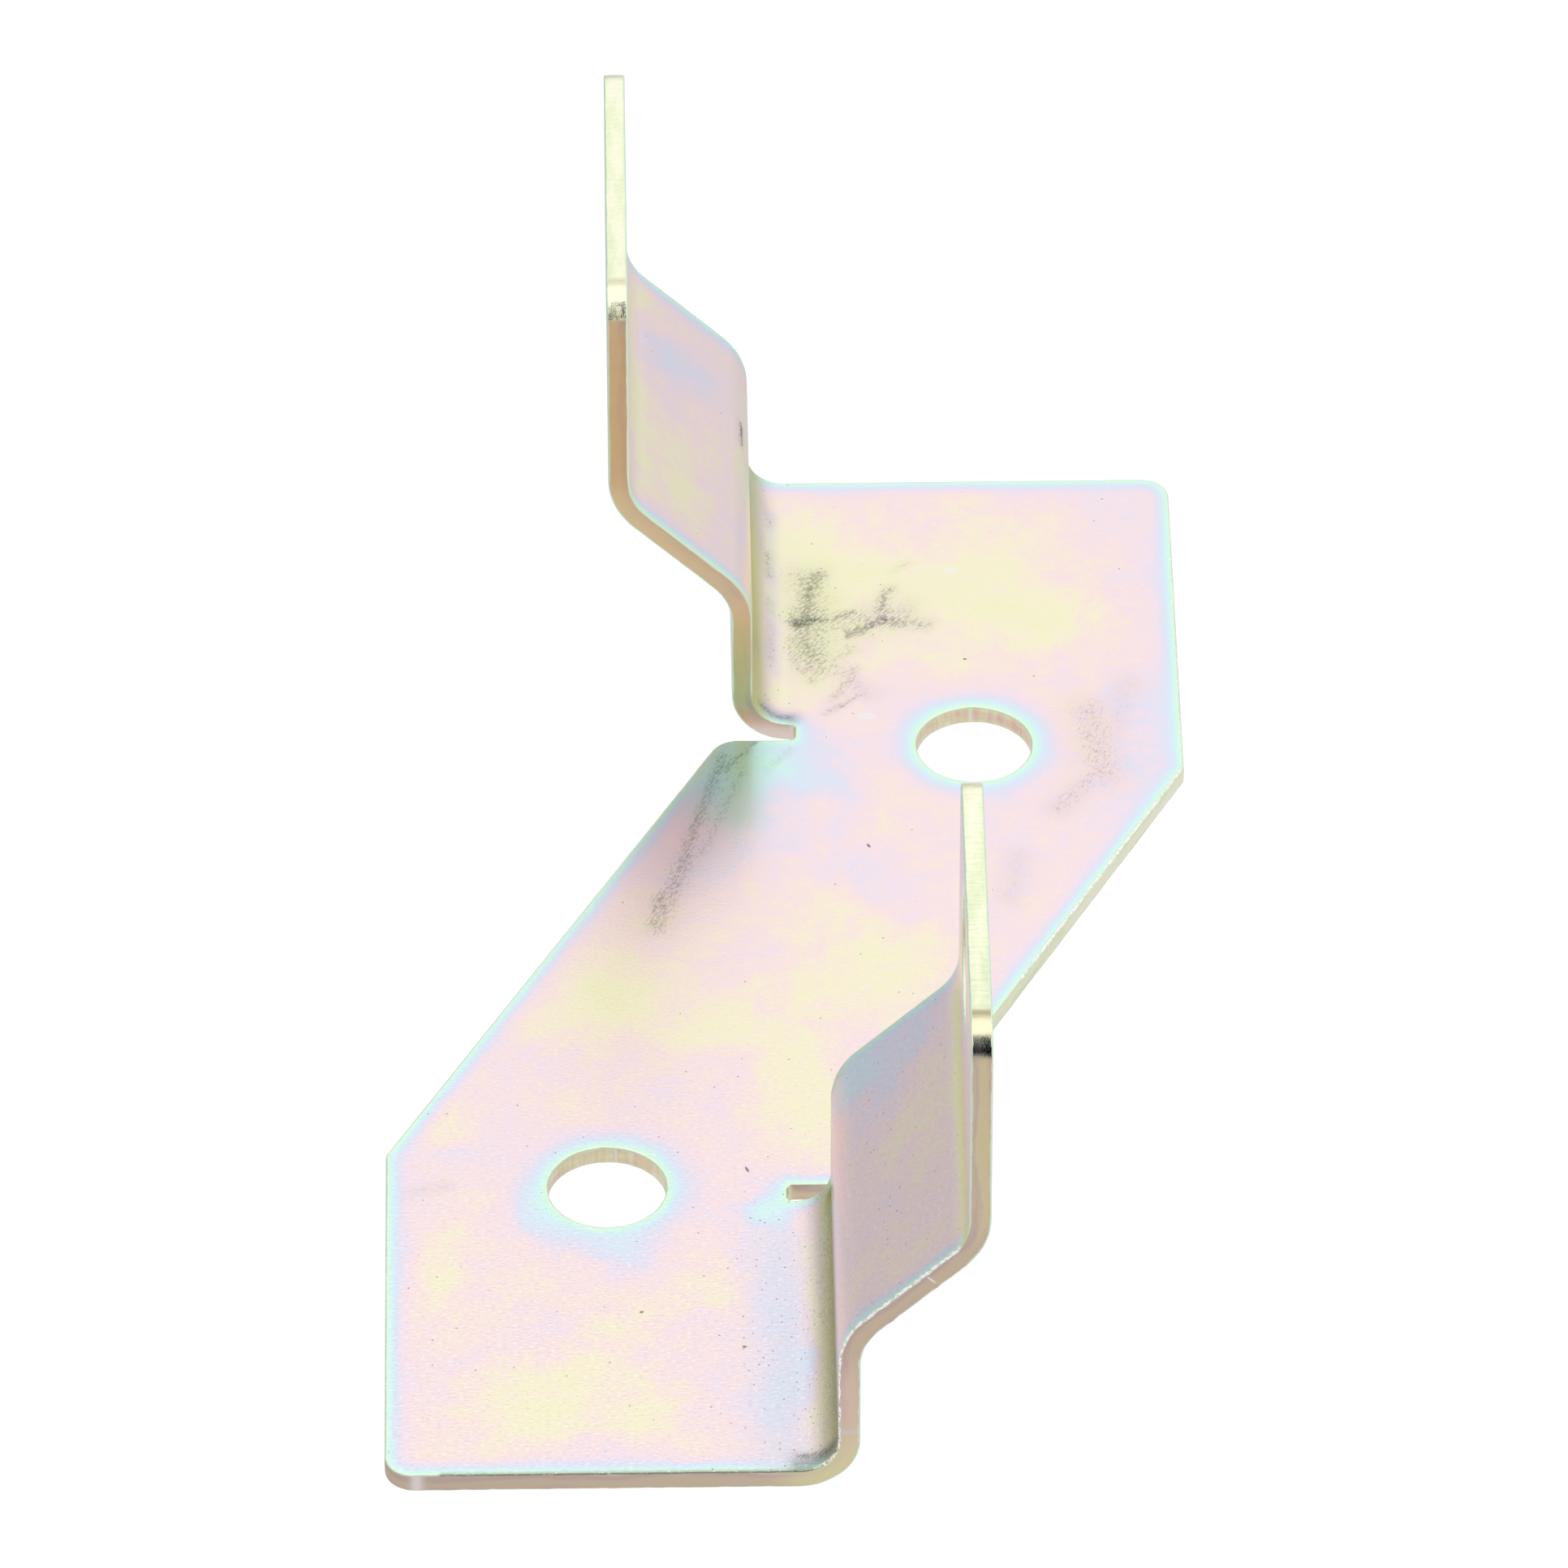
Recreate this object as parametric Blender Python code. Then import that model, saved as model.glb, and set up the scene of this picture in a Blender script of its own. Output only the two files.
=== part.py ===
"""Folded sheet-metal mounting bracket, modelled the way it is made.

One piece of sheet is cut flat: a plate with two bolt holes, and a strip at each end with a hole of its own.
A slot frees each strip from the plate beside it. Each strip is then folded up along the plate's middle line
and joggled outward, so that its top stands as a tab on its own side. The bracket looks the same after half
a turn about the vertical, apart from the plate's holes, which are placed from their own corners.

Run it with: blender --background --python part.py, or from the text editor. Lengths are in metres, +Z is up.
The origin is the middle of the plate's underside. +X is the bracket's right, and -Y is its front.
"""
import math

import bmesh
import bpy
from mathutils import Matrix, Vector

# Sheet and plate
SHEET_THICKNESS = 0.0020
PLATE_WIDTH = 0.0765
BRACKET_LENGTH = 0.1428
PLATE_CORNER_RADIUS = 0.0027

# Each long side runs straight from one end of the plate, then slants in to an ear beside the slot
SLANT_START = 0.0274
SLANT_CORNER_RADIUS = 0.0005
EAR_WIDTH = 0.0063
EAR_REACH = 0.0322
EAR_RADIUS = 0.0029

# The slot that frees a strip ends a little past the line where the bend starts, with small round corners
SLOT_WIDTH = 0.0022
SLOT_OVERRUN = 0.0004
SLOT_CORNER_RADIUS = 0.0006

# Bolt holes in the plate, each placed from the two edges of its own corner
PLATE_HOLE_DIAMETER = 0.0110
FRONT_HOLE_FROM_SIDE = 0.0206
FRONT_HOLE_FROM_END = 0.0392
REAR_HOLE_FROM_SIDE = 0.0201
REAR_HOLE_FROM_END = 0.0402

# The upright's section, measured on its outer face
UPRIGHT_FACE = 0.0051
BEND_RADIUS = 0.0036
LOWER_RISE = 0.0173
JOGGLE_OFFSET = 0.0117
JOGGLE_ANGLE = math.radians(45)
JOGGLE_RADIUS = 0.0060
TAB_RISE = 0.0250
TAB_CORNER_RADIUS = 0.0026

# Hole in each tab, placed from the tab's top and from its edge beside the slot
TAB_HOLE_DIAMETER = 0.0130
TAB_HOLE_FROM_TOP = 0.0100
TAB_HOLE_FROM_SLOT_EDGE = 0.0147

# Where the sheet neither stretches nor shrinks in a bend, as a share of its thickness from the inside
NEUTRAL_SHARE = 0.42

# Facets: of a full circle, of a rounded corner, and of a right-angled bend
HOLE_FACETS = 56
CORNER_FACETS = 6
BEND_FACETS = 12

# Points nearer to each other than this are one point
WELD_DISTANCE = 0.000002

# Finish: yellow passivated zinc plate
FINISH_COLOUR = (0.80, 0.74, 0.60, 1.0)
FINISH_ROUGHNESS = 0.32
SMOOTH_ANGLE = math.radians(30)

# Worked out from the sizes above
HALF_WIDTH = PLATE_WIDTH / 2
HALF_LENGTH = BRACKET_LENGTH / 2
HALF_TURN = Matrix.Rotation(math.pi, 4, "Z")
STRIP_EDGE = EAR_REACH + SLOT_WIDTH
BEND_LINE = UPRIGHT_FACE - SHEET_THICKNESS - BEND_RADIUS
SLOT_END = BEND_LINE - SLOT_OVERRUN
SLANT_RISE = JOGGLE_OFFSET / math.tan(JOGGLE_ANGLE)
JOGGLE_SETBACK = math.tan(JOGGLE_ANGLE / 2)


def section_stations():
    """Follow the upright's section from the bend line to the top of the tab.

    Each station is the length along the flat blank, the point on the outer face, and the point on the
    inner face. The sheet is straight between stations, so every facet of a bend is a flat strip.
    """
    outer_radius = BEND_RADIUS + SHEET_THICKNESS
    joggle_outer_radius = JOGGLE_RADIUS + SHEET_THICKNESS
    lower_straight = LOWER_RISE - outer_radius - JOGGLE_RADIUS * JOGGLE_SETBACK
    slant_setback = (JOGGLE_RADIUS + joggle_outer_radius) * JOGGLE_SETBACK
    slant_straight = JOGGLE_OFFSET / math.sin(JOGGLE_ANGLE) - slant_setback
    tab_straight = TAB_RISE - joggle_outer_radius * JOGGLE_SETBACK

    point = Vector((BEND_LINE, 0.0))
    heading = 0.0
    flat = 0.0
    stations = []

    def inward():
        return Vector((-math.sin(heading), math.cos(heading)))

    def mark():
        stations.append((flat, point.copy(), point + SHEET_THICKNESS * inward()))

    def straight(length):
        nonlocal point, flat
        point = point + length * Vector((math.cos(heading), math.sin(heading)))
        flat += length
        mark()

    def bend(angle, radius):
        """Turn by an angle; a positive one folds inward, about a centre on the inner side."""
        nonlocal point, heading, flat
        facets = max(1, round(BEND_FACETS * abs(angle) / math.radians(90)))
        arm = radius + SHEET_THICKNESS if angle > 0 else -radius
        for _ in range(facets):
            centre = point + arm * inward()
            heading += angle / facets
            point = centre - arm * inward()
            flat += abs(angle) / facets * (radius + NEUTRAL_SHARE * SHEET_THICKNESS)
            mark()

    mark()
    bend(math.radians(90), BEND_RADIUS)
    straight(lower_straight)
    bend(-JOGGLE_ANGLE, JOGGLE_RADIUS)
    straight(slant_straight)
    bend(JOGGLE_ANGLE, JOGGLE_RADIUS)
    straight(tab_straight)
    return stations


STATIONS = section_stations()
STRIP_LENGTH = STATIONS[-1][0]
STRIP_END = BEND_LINE + STRIP_LENGTH


def circle(centre, diameter):
    """Points of a hole's edge."""
    turns = [2 * math.pi * k / HOLE_FACETS for k in range(HOLE_FACETS)]
    return [centre + diameter / 2 * Vector((math.cos(a), math.sin(a))) for a in turns]


def rounded(corners):
    """Points of a closed outline whose corners, given as (x, y, radius), are rounded."""
    points = []
    for k, (x, y, radius) in enumerate(corners):
        corner = Vector((x, y))
        before = Vector(corners[k - 1][:2]) - corner
        after = Vector(corners[(k + 1) % len(corners)][:2]) - corner
        turn = math.pi - before.angle(after)
        setback = radius * math.tan(turn / 2)
        start = corner + setback * before.normalized()
        middle = (before.normalized() + after.normalized()).normalized()
        centre = corner + middle * radius / math.cos(turn / 2)
        side = 1 if before.cross(after) < 0 else -1
        for step in range(CORNER_FACETS + 1):
            swing = Matrix.Rotation(side * turn * step / CORNER_FACETS, 2)
            point = centre + swing @ (start - centre)
            if not points or (point - points[-1]).length > WELD_DISTANCE:
                points.append(point)
    return points


def blank_outline():
    """The flat blank's edge: one half, and the same half turned about the middle."""
    half = [
        (-HALF_WIDTH, -HALF_LENGTH, PLATE_CORNER_RADIUS),
        (-HALF_WIDTH, -SLANT_START, SLANT_CORNER_RADIUS),
        (-EAR_WIDTH, EAR_REACH, EAR_RADIUS),
        (-SLOT_END, EAR_REACH, SLOT_CORNER_RADIUS),
        (-SLOT_END, STRIP_EDGE, SLOT_CORNER_RADIUS),
        (-STRIP_END, STRIP_EDGE, TAB_CORNER_RADIUS),
        (-STRIP_END, HALF_LENGTH, TAB_CORNER_RADIUS),
    ]
    return rounded(half + [(-x, -y, radius) for x, y, radius in half])


def blank_holes():
    """Two bolt holes in the plate, and one hole in each strip."""
    front = Vector((FRONT_HOLE_FROM_SIDE - HALF_WIDTH, FRONT_HOLE_FROM_END - HALF_LENGTH))
    rear = Vector((HALF_WIDTH - REAR_HOLE_FROM_SIDE, HALF_LENGTH - REAR_HOLE_FROM_END))
    tab = Vector((STRIP_END - TAB_HOLE_FROM_TOP, -STRIP_EDGE - TAB_HOLE_FROM_SLOT_EDGE))
    plate_holes = [circle(centre, PLATE_HOLE_DIAMETER) for centre in (front, rear)]
    tab_holes = [circle(centre, TAB_HOLE_DIAMETER) for centre in (tab, -tab)]
    return plate_holes + tab_holes


def flat_blank():
    """Cut the blank from sheet: a filled outline with its holes, extruded to the sheet's thickness."""
    curve = bpy.data.curves.new("blank", "CURVE")
    curve.dimensions = "2D"
    curve.fill_mode = "BOTH"
    curve.extrude = SHEET_THICKNESS / 2
    for loop in [blank_outline()] + blank_holes():
        spline = curve.splines.new("POLY")
        spline.points.add(len(loop) - 1)
        for place, point in zip(spline.points, loop):
            place.co = (point.x, point.y, 0.0, 1.0)
        spline.use_cyclic_u = True
    blank = bpy.data.objects.new("blank", curve)
    blank.location.z = SHEET_THICKNESS / 2
    bpy.context.scene.collection.objects.link(blank)
    bpy.context.view_layer.update()

    evaluated = blank.evaluated_get(bpy.context.evaluated_depsgraph_get())
    mesh = bpy.data.meshes.new_from_object(evaluated)
    mesh.transform(blank.matrix_world)
    bpy.data.objects.remove(blank)
    bpy.data.curves.remove(curve)
    return mesh


def in_strip(place):
    """Whether a point of the blank lies in the front strip, beyond its bend line."""
    return place.x > BEND_LINE - WELD_DISTANCE and place.y < -(EAR_REACH + STRIP_EDGE) / 2


def cut_along(sheet, faces, x):
    """Cut some of the blank's faces along a line across the strip."""
    edges = {edge for face in faces for edge in face.edges}
    verts = {vert for face in faces for vert in face.verts}
    bmesh.ops.bisect_plane(
        sheet,
        geom=list(verts) + list(edges) + list(faces),
        dist=WELD_DISTANCE,
        plane_co=(x, 0.0, 0.0),
        plane_no=(1.0, 0.0, 0.0),
    )


def folded(place):
    """Where a point of the flat strip goes when the strip is folded."""
    flat = min(max(place.x - BEND_LINE, 0.0), STRIP_LENGTH)
    for start, end in zip(STATIONS, STATIONS[1:]):
        if flat <= end[0]:
            break
    along = (flat - start[0]) / (end[0] - start[0])
    outer = start[1].lerp(end[1], along)
    inner = start[2].lerp(end[2], along)
    section = outer.lerp(inner, place.z / SHEET_THICKNESS)
    return Vector((section.x, place.y, section.y))


def fold_strip(sheet):
    """Score the front strip at every facet of its bends, then fold it up."""
    cut_along(sheet, sheet.faces[:], BEND_LINE)
    for flat, _, _ in STATIONS[1:-1]:
        strip = [face for face in sheet.faces if in_strip(face.calc_center_median())]
        cut_along(sheet, strip, BEND_LINE + flat)
    for vert in sheet.verts:
        if in_strip(vert.co):
            vert.co = folded(vert.co)


def finish_material():
    """Zinc plate with a yellow passivated skin, satin."""
    material = bpy.data.materials.new("yellow_zinc_plate")
    material.use_nodes = True
    shader = material.node_tree.nodes["Principled BSDF"]
    shader.inputs["Base Color"].default_value = FINISH_COLOUR
    shader.inputs["Metallic"].default_value = 1.0
    shader.inputs["Roughness"].default_value = FINISH_ROUGHNESS
    return material


def make_bracket(collection):
    """Fold one strip, turn the sheet half round, fold the other and turn it back."""
    mesh = flat_blank()
    sheet = bmesh.new()
    sheet.from_mesh(mesh)
    bmesh.ops.remove_doubles(sheet, verts=sheet.verts, dist=WELD_DISTANCE)
    for _ in range(2):
        fold_strip(sheet)
        bmesh.ops.transform(sheet, matrix=HALF_TURN, verts=sheet.verts)
    bmesh.ops.recalc_face_normals(sheet, faces=sheet.faces)
    sheet.to_mesh(mesh)
    sheet.free()

    mesh.name = "bracket"
    mesh.materials.append(finish_material())
    mesh.shade_smooth()
    mesh.set_sharp_from_angle(angle=SMOOTH_ANGLE)
    bracket = bpy.data.objects.new("bracket", mesh)
    collection.objects.link(bracket)
    return bracket


def main():
    for old in list(bpy.data.objects):
        bpy.data.objects.remove(old)
    collection = bpy.data.collections.new("mounting_bracket")
    bpy.context.scene.collection.children.link(collection)
    make_bracket(collection)


main()
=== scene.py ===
"""Looks of a folded mounting bracket, laser cut from 2 mm steel sheet and plated with yellow zinc.

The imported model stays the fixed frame. The one visible piece is the same sheet again, cut from a flat blank
with a fine mesh, rounded along its cut edges and folded on true arcs. The blank keeps its flat place, its
distance from the cut edges and the wear of each spot as attributes, and the two finishes are worked out
from those. Lengths in the properties are in metres; the blank itself is worked out in millimetres.
"""

import math

import bpy
import numpy as np
from mathutils import Matrix, Vector
from mathutils.geometry import delaunay_2d_cdt


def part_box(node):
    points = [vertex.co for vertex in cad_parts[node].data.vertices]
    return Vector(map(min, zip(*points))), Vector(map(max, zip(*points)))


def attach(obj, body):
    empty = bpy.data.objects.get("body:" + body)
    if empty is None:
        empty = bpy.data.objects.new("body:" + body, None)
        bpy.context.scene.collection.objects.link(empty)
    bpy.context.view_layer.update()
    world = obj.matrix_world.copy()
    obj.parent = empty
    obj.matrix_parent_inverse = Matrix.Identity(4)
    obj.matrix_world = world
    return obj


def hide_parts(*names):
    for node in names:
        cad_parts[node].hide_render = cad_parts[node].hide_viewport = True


bl_info = {
    "name": "Folded mounting bracket",
    "version": (1, 0, 0),
    "blender": (4, 5, 0),
    "location": "3D View > Sidebar > Bracket",
    "description": "Builds the folded bracket in yellow zinc plate, and the studio round it",
    "category": "Add Mesh",
}

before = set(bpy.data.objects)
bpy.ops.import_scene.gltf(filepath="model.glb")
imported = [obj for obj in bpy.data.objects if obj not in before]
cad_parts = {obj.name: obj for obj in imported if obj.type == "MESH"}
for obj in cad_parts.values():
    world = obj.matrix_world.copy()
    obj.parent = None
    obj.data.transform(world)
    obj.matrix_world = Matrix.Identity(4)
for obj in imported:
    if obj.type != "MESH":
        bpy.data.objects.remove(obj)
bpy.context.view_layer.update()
lowest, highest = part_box("bracket")

MM = 0.001
SEED = 11

# Fineness of the mesh, in millimetres: along a straight cut edge, round the outline's corners, and over the
# inner and the outer face, whose grid is jittered by a share of its spacing. A hole has a number of steps.
EDGE_STEP = 0.42
ARC_STEP = 0.22
INNER_GRID = 0.62
OUTER_GRID = 1.25
GRID_JITTER = 0.25
HOLE_STEPS = 120

# Rings that follow the cut edges, in millimetres from the edge. A ring's point goes where another edge is
# nearer than this share of the ring's own distance, and the grid starts a clearance past the last ring.
EDGE_RINGS = (0.50, 0.90, 1.40, 2.00, 2.70)
RING_SHARE = 0.97
RING_CLEARANCE = 0.35

# Steps round a softened edge, and down the cut wall between the two
ROUND_STEPS = 3
WALL_STEPS = 4


class BracketShape(bpy.types.PropertyGroup):
    """Sizes of the sheet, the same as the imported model's."""
    thickness: bpy.props.FloatProperty(
        name="Sheet thickness", description="Thickness of the steel sheet",
        default=0.0020, min=0.0005, unit="LENGTH", precision=4)
    width: bpy.props.FloatProperty(
        name="Plate width", description="Width of the plate across its straight sides",
        default=highest.x - lowest.x, min=0.02, unit="LENGTH", precision=4)
    length: bpy.props.FloatProperty(
        name="Length", description="Length of the bracket from end to end",
        default=highest.y - lowest.y, min=0.04, unit="LENGTH", precision=4)
    height: bpy.props.FloatProperty(
        name="Height", description="Height of the tabs' tops above the surface it stands on",
        default=highest.z - lowest.z, min=0.02, unit="LENGTH", precision=4)
    plate_corner: bpy.props.FloatProperty(
        name="Plate corner radius", description="Radius of the plate's end corners",
        default=0.0027, min=0.0, unit="LENGTH", precision=4)
    slant_start: bpy.props.FloatProperty(
        name="Slant start", description="Distance from the middle to where a long side starts to slant",
        default=0.0274, unit="LENGTH", precision=4)
    slant_corner: bpy.props.FloatProperty(
        name="Slant corner radius", description="Radius of the corner where the slant starts",
        default=0.0005, unit="LENGTH", precision=4)
    ear_width: bpy.props.FloatProperty(
        name="Ear width", description="Distance from the middle line to the ear's corner",
        default=0.0063, unit="LENGTH", precision=4)
    ear_reach: bpy.props.FloatProperty(
        name="Ear reach", description="Distance from the middle to the ear's edge beside the slot",
        default=0.0322, unit="LENGTH", precision=4)
    ear_corner: bpy.props.FloatProperty(
        name="Ear corner radius", description="Radius of the ear's corner",
        default=0.0029, unit="LENGTH", precision=4)
    slot_width: bpy.props.FloatProperty(
        name="Slot width", description="Width of the slot that frees a strip",
        default=0.0022, unit="LENGTH", precision=4)
    slot_corner: bpy.props.FloatProperty(
        name="Slot corner radius", description="Radius of the two corners at the slot's end",
        default=0.0006, min=0.0, unit="LENGTH", precision=4)
    slot_overrun: bpy.props.FloatProperty(
        name="Slot overrun", description="How far the slot runs past the bend line",
        default=0.0004, unit="LENGTH", precision=4)
    upright_face: bpy.props.FloatProperty(
        name="Upright face", description="Distance from the middle line to the upright's outer face",
        default=0.0051, unit="LENGTH", precision=4)
    bend_radius: bpy.props.FloatProperty(
        name="Bend radius", description="Inside radius of the bend at the foot of an upright",
        default=0.0036, unit="LENGTH", precision=4)
    lower_rise: bpy.props.FloatProperty(
        name="Lower rise", description="Height at which the outer face starts to joggle",
        default=0.0173, unit="LENGTH", precision=4)
    joggle_offset: bpy.props.FloatProperty(
        name="Joggle offset", description="How far the joggle carries the tab outward",
        default=0.0117, unit="LENGTH", precision=4)
    joggle_angle: bpy.props.FloatProperty(
        name="Joggle angle", description="Lean of the joggle from upright",
        default=math.radians(45), subtype="ANGLE")
    joggle_radius: bpy.props.FloatProperty(
        name="Joggle radius", description="Inside radius of the joggle's two bends",
        default=0.0060, unit="LENGTH", precision=4)
    tab_corner: bpy.props.FloatProperty(
        name="Tab corner radius", description="Radius of the tabs' top corners",
        default=0.0026, unit="LENGTH", precision=4)
    plate_hole: bpy.props.FloatProperty(
        name="Plate hole", description="Diameter of the two bolt holes in the plate",
        default=0.0110, unit="LENGTH", precision=4)
    front_hole_place: bpy.props.FloatVectorProperty(
        name="Front hole place", description="Front hole, from the left side and from the front end",
        size=2, default=(0.0206, 0.0392), unit="LENGTH", precision=4)
    rear_hole_place: bpy.props.FloatVectorProperty(
        name="Rear hole place", description="Rear hole, from the right side and from the rear end",
        size=2, default=(0.0201, 0.0402), unit="LENGTH", precision=4)
    tab_hole: bpy.props.FloatProperty(
        name="Tab hole", description="Diameter of the hole in each tab",
        default=0.0130, unit="LENGTH", precision=4)
    tab_hole_place: bpy.props.FloatVectorProperty(
        name="Tab hole place", description="Tab hole, from the tab's top and from its edge by the slot",
        size=2, default=(0.0100, 0.0147), unit="LENGTH", precision=4)
    neutral_share: bpy.props.FloatProperty(
        name="Neutral share", description="Where the sheet keeps its length in a bend, from the inside",
        default=0.42, min=0.0, max=1.0, subtype="FACTOR")
    edge_round: bpy.props.FloatProperty(
        name="Edge softening", description="Radius along the cut edges after tumbling and plating",
        default=0.00018, min=0.00002, max=0.0005, unit="LENGTH", precision=5)
    wall_bulge: bpy.props.FloatProperty(
        name="Wall bulge", description="How far the middle of a cut wall stands out past its two edges",
        default=0.00003, min=0.0, max=0.0003, unit="LENGTH", precision=5)


def linear(code):
    """Linear colour with alpha from an sRGB hex code."""
    channels = [int(code[k:k + 2], 16) / 255 for k in (0, 2, 4)]
    return tuple(c / 12.92 if c <= 0.04045 else ((c + 0.055) / 1.055) ** 2.4 for c in channels) + (1.0,)


class BracketFinish(bpy.types.PropertyGroup):
    """Colours and wear of the plating."""
    thin_film: bpy.props.FloatVectorProperty(
        name="Thin film", description="Colour of the passivate film where it is thinnest, at a cut edge",
        subtype="COLOR", size=4, min=0, max=1, default=linear("E6F8DD"))
    thick_film: bpy.props.FloatVectorProperty(
        name="Thick film", description="Colour of the passivate film where it is thickest",
        subtype="COLOR", size=4, min=0, max=1, default=linear("F3EEC4"))
    squeezed_film: bpy.props.FloatVectorProperty(
        name="Squeezed film", description="Colour of the plating on the inside of the bends at the feet",
        subtype="COLOR", size=4, min=0, max=1, default=linear("C4CC82"))
    rub: bpy.props.FloatVectorProperty(
        name="Rub marks", description="Colour of the dark rubs from handling and bending",
        subtype="COLOR", size=4, min=0, max=1, default=linear("555C52"))
    cut_wall: bpy.props.FloatVectorProperty(
        name="Cut wall", description="Main colour of the laser-cut walls",
        subtype="COLOR", size=4, min=0, max=1, default=linear("E6D3B8"))
    wear: bpy.props.FloatProperty(
        name="Wear", description="Strength of the dark rub marks from handling and bending",
        default=1.0, min=0.0, max=2.0, subtype="FACTOR")
    orange_peel: bpy.props.FloatProperty(
        name="Orange peel", description="Height of the fine ripple in the plated face",
        default=0.000024, min=0.0, unit="LENGTH", precision=6)


class BracketStudio(bpy.types.PropertyGroup):
    """The white table, the room round it and the camera."""
    table_light: bpy.props.FloatProperty(
        name="Table light", description="Brightness of the white table behind the bracket",
        default=1.06, min=0.0)
    left_table: bpy.props.FloatProperty(
        name="Left table reflection",
        description="Brightness of the table on the left as the metal mirrors it",
        default=0.62, min=0.0)
    right_table: bpy.props.FloatProperty(
        name="Right table reflection",
        description="Brightness of the table on the right as the metal mirrors it",
        default=0.86, min=0.0)
    overhead_light: bpy.props.FloatProperty(
        name="Overhead light", description="Brightness of the white room overhead",
        default=1.13, min=0.0)
    left_light: bpy.props.FloatProperty(
        name="Left horizon light", description="Brightness of the room at table height on the left",
        default=0.52, min=0.0)
    right_light: bpy.props.FloatProperty(
        name="Right horizon light", description="Brightness of the room at table height on the right",
        default=0.74, min=0.0)
    camera_distance: bpy.props.FloatProperty(
        name="Camera distance", description="Distance from the camera to the middle of the bracket's foot",
        default=1.438366, min=0.2, unit="LENGTH", precision=4)
    camera_height: bpy.props.FloatProperty(
        name="Camera elevation", description="Angle that the camera looks down at",
        default=math.radians(40.2136), subtype="ANGLE")
    camera_turn: bpy.props.FloatProperty(
        name="Camera turn", description="Angle of the camera round the bracket from its front",
        default=math.radians(-0.957), subtype="ANGLE")
    lens: bpy.props.FloatProperty(
        name="Lens", description="Focal length on a 36 mm wide sensor, in millimetres",
        default=348.562, min=10.0)


# Colours of the film in the order that they come in as it thickens, between the thinnest and the thickest
FILM_ORDER = (
    (0.10, "DBF9E4"),
    (0.20, "D6F7EE"),
    (0.30, "D6F1F5"),
    (0.40, "DBEAF6"),
    (0.50, "E1E5F4"),
    (0.58, "E8E2F1"),
    (0.66, "F1E2EC"),
    (0.74, "F6E2E6"),
    (0.82, "F8E5DF"),
    (0.90, "F7EBD8"),
    (0.98, "F6EFD2"),
    (1.06, "F3F1CD"),
)
THICKEST_FILM = 1.20

# Film value of the open sheet, and how the film runs thin towards the outline or a tab's hole, and towards
# a plate hole: the attribute that holds the distance, the reach in millimetres, and how late it thickens
OPEN_FILM = 0.775
FILM_FADES = (("edge_mm", 1.10, 1.4), ("hole_mm", 1.60, 1.2))

# Clouds and smaller wisps of uneven film: their size in millimetres, and how much they change the film
CLOUD_SIZE = 8.0
CLOUD_SHARE = 0.55
WISP_SIZE = 2.2
WISP_SHARE = 0.42

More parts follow.
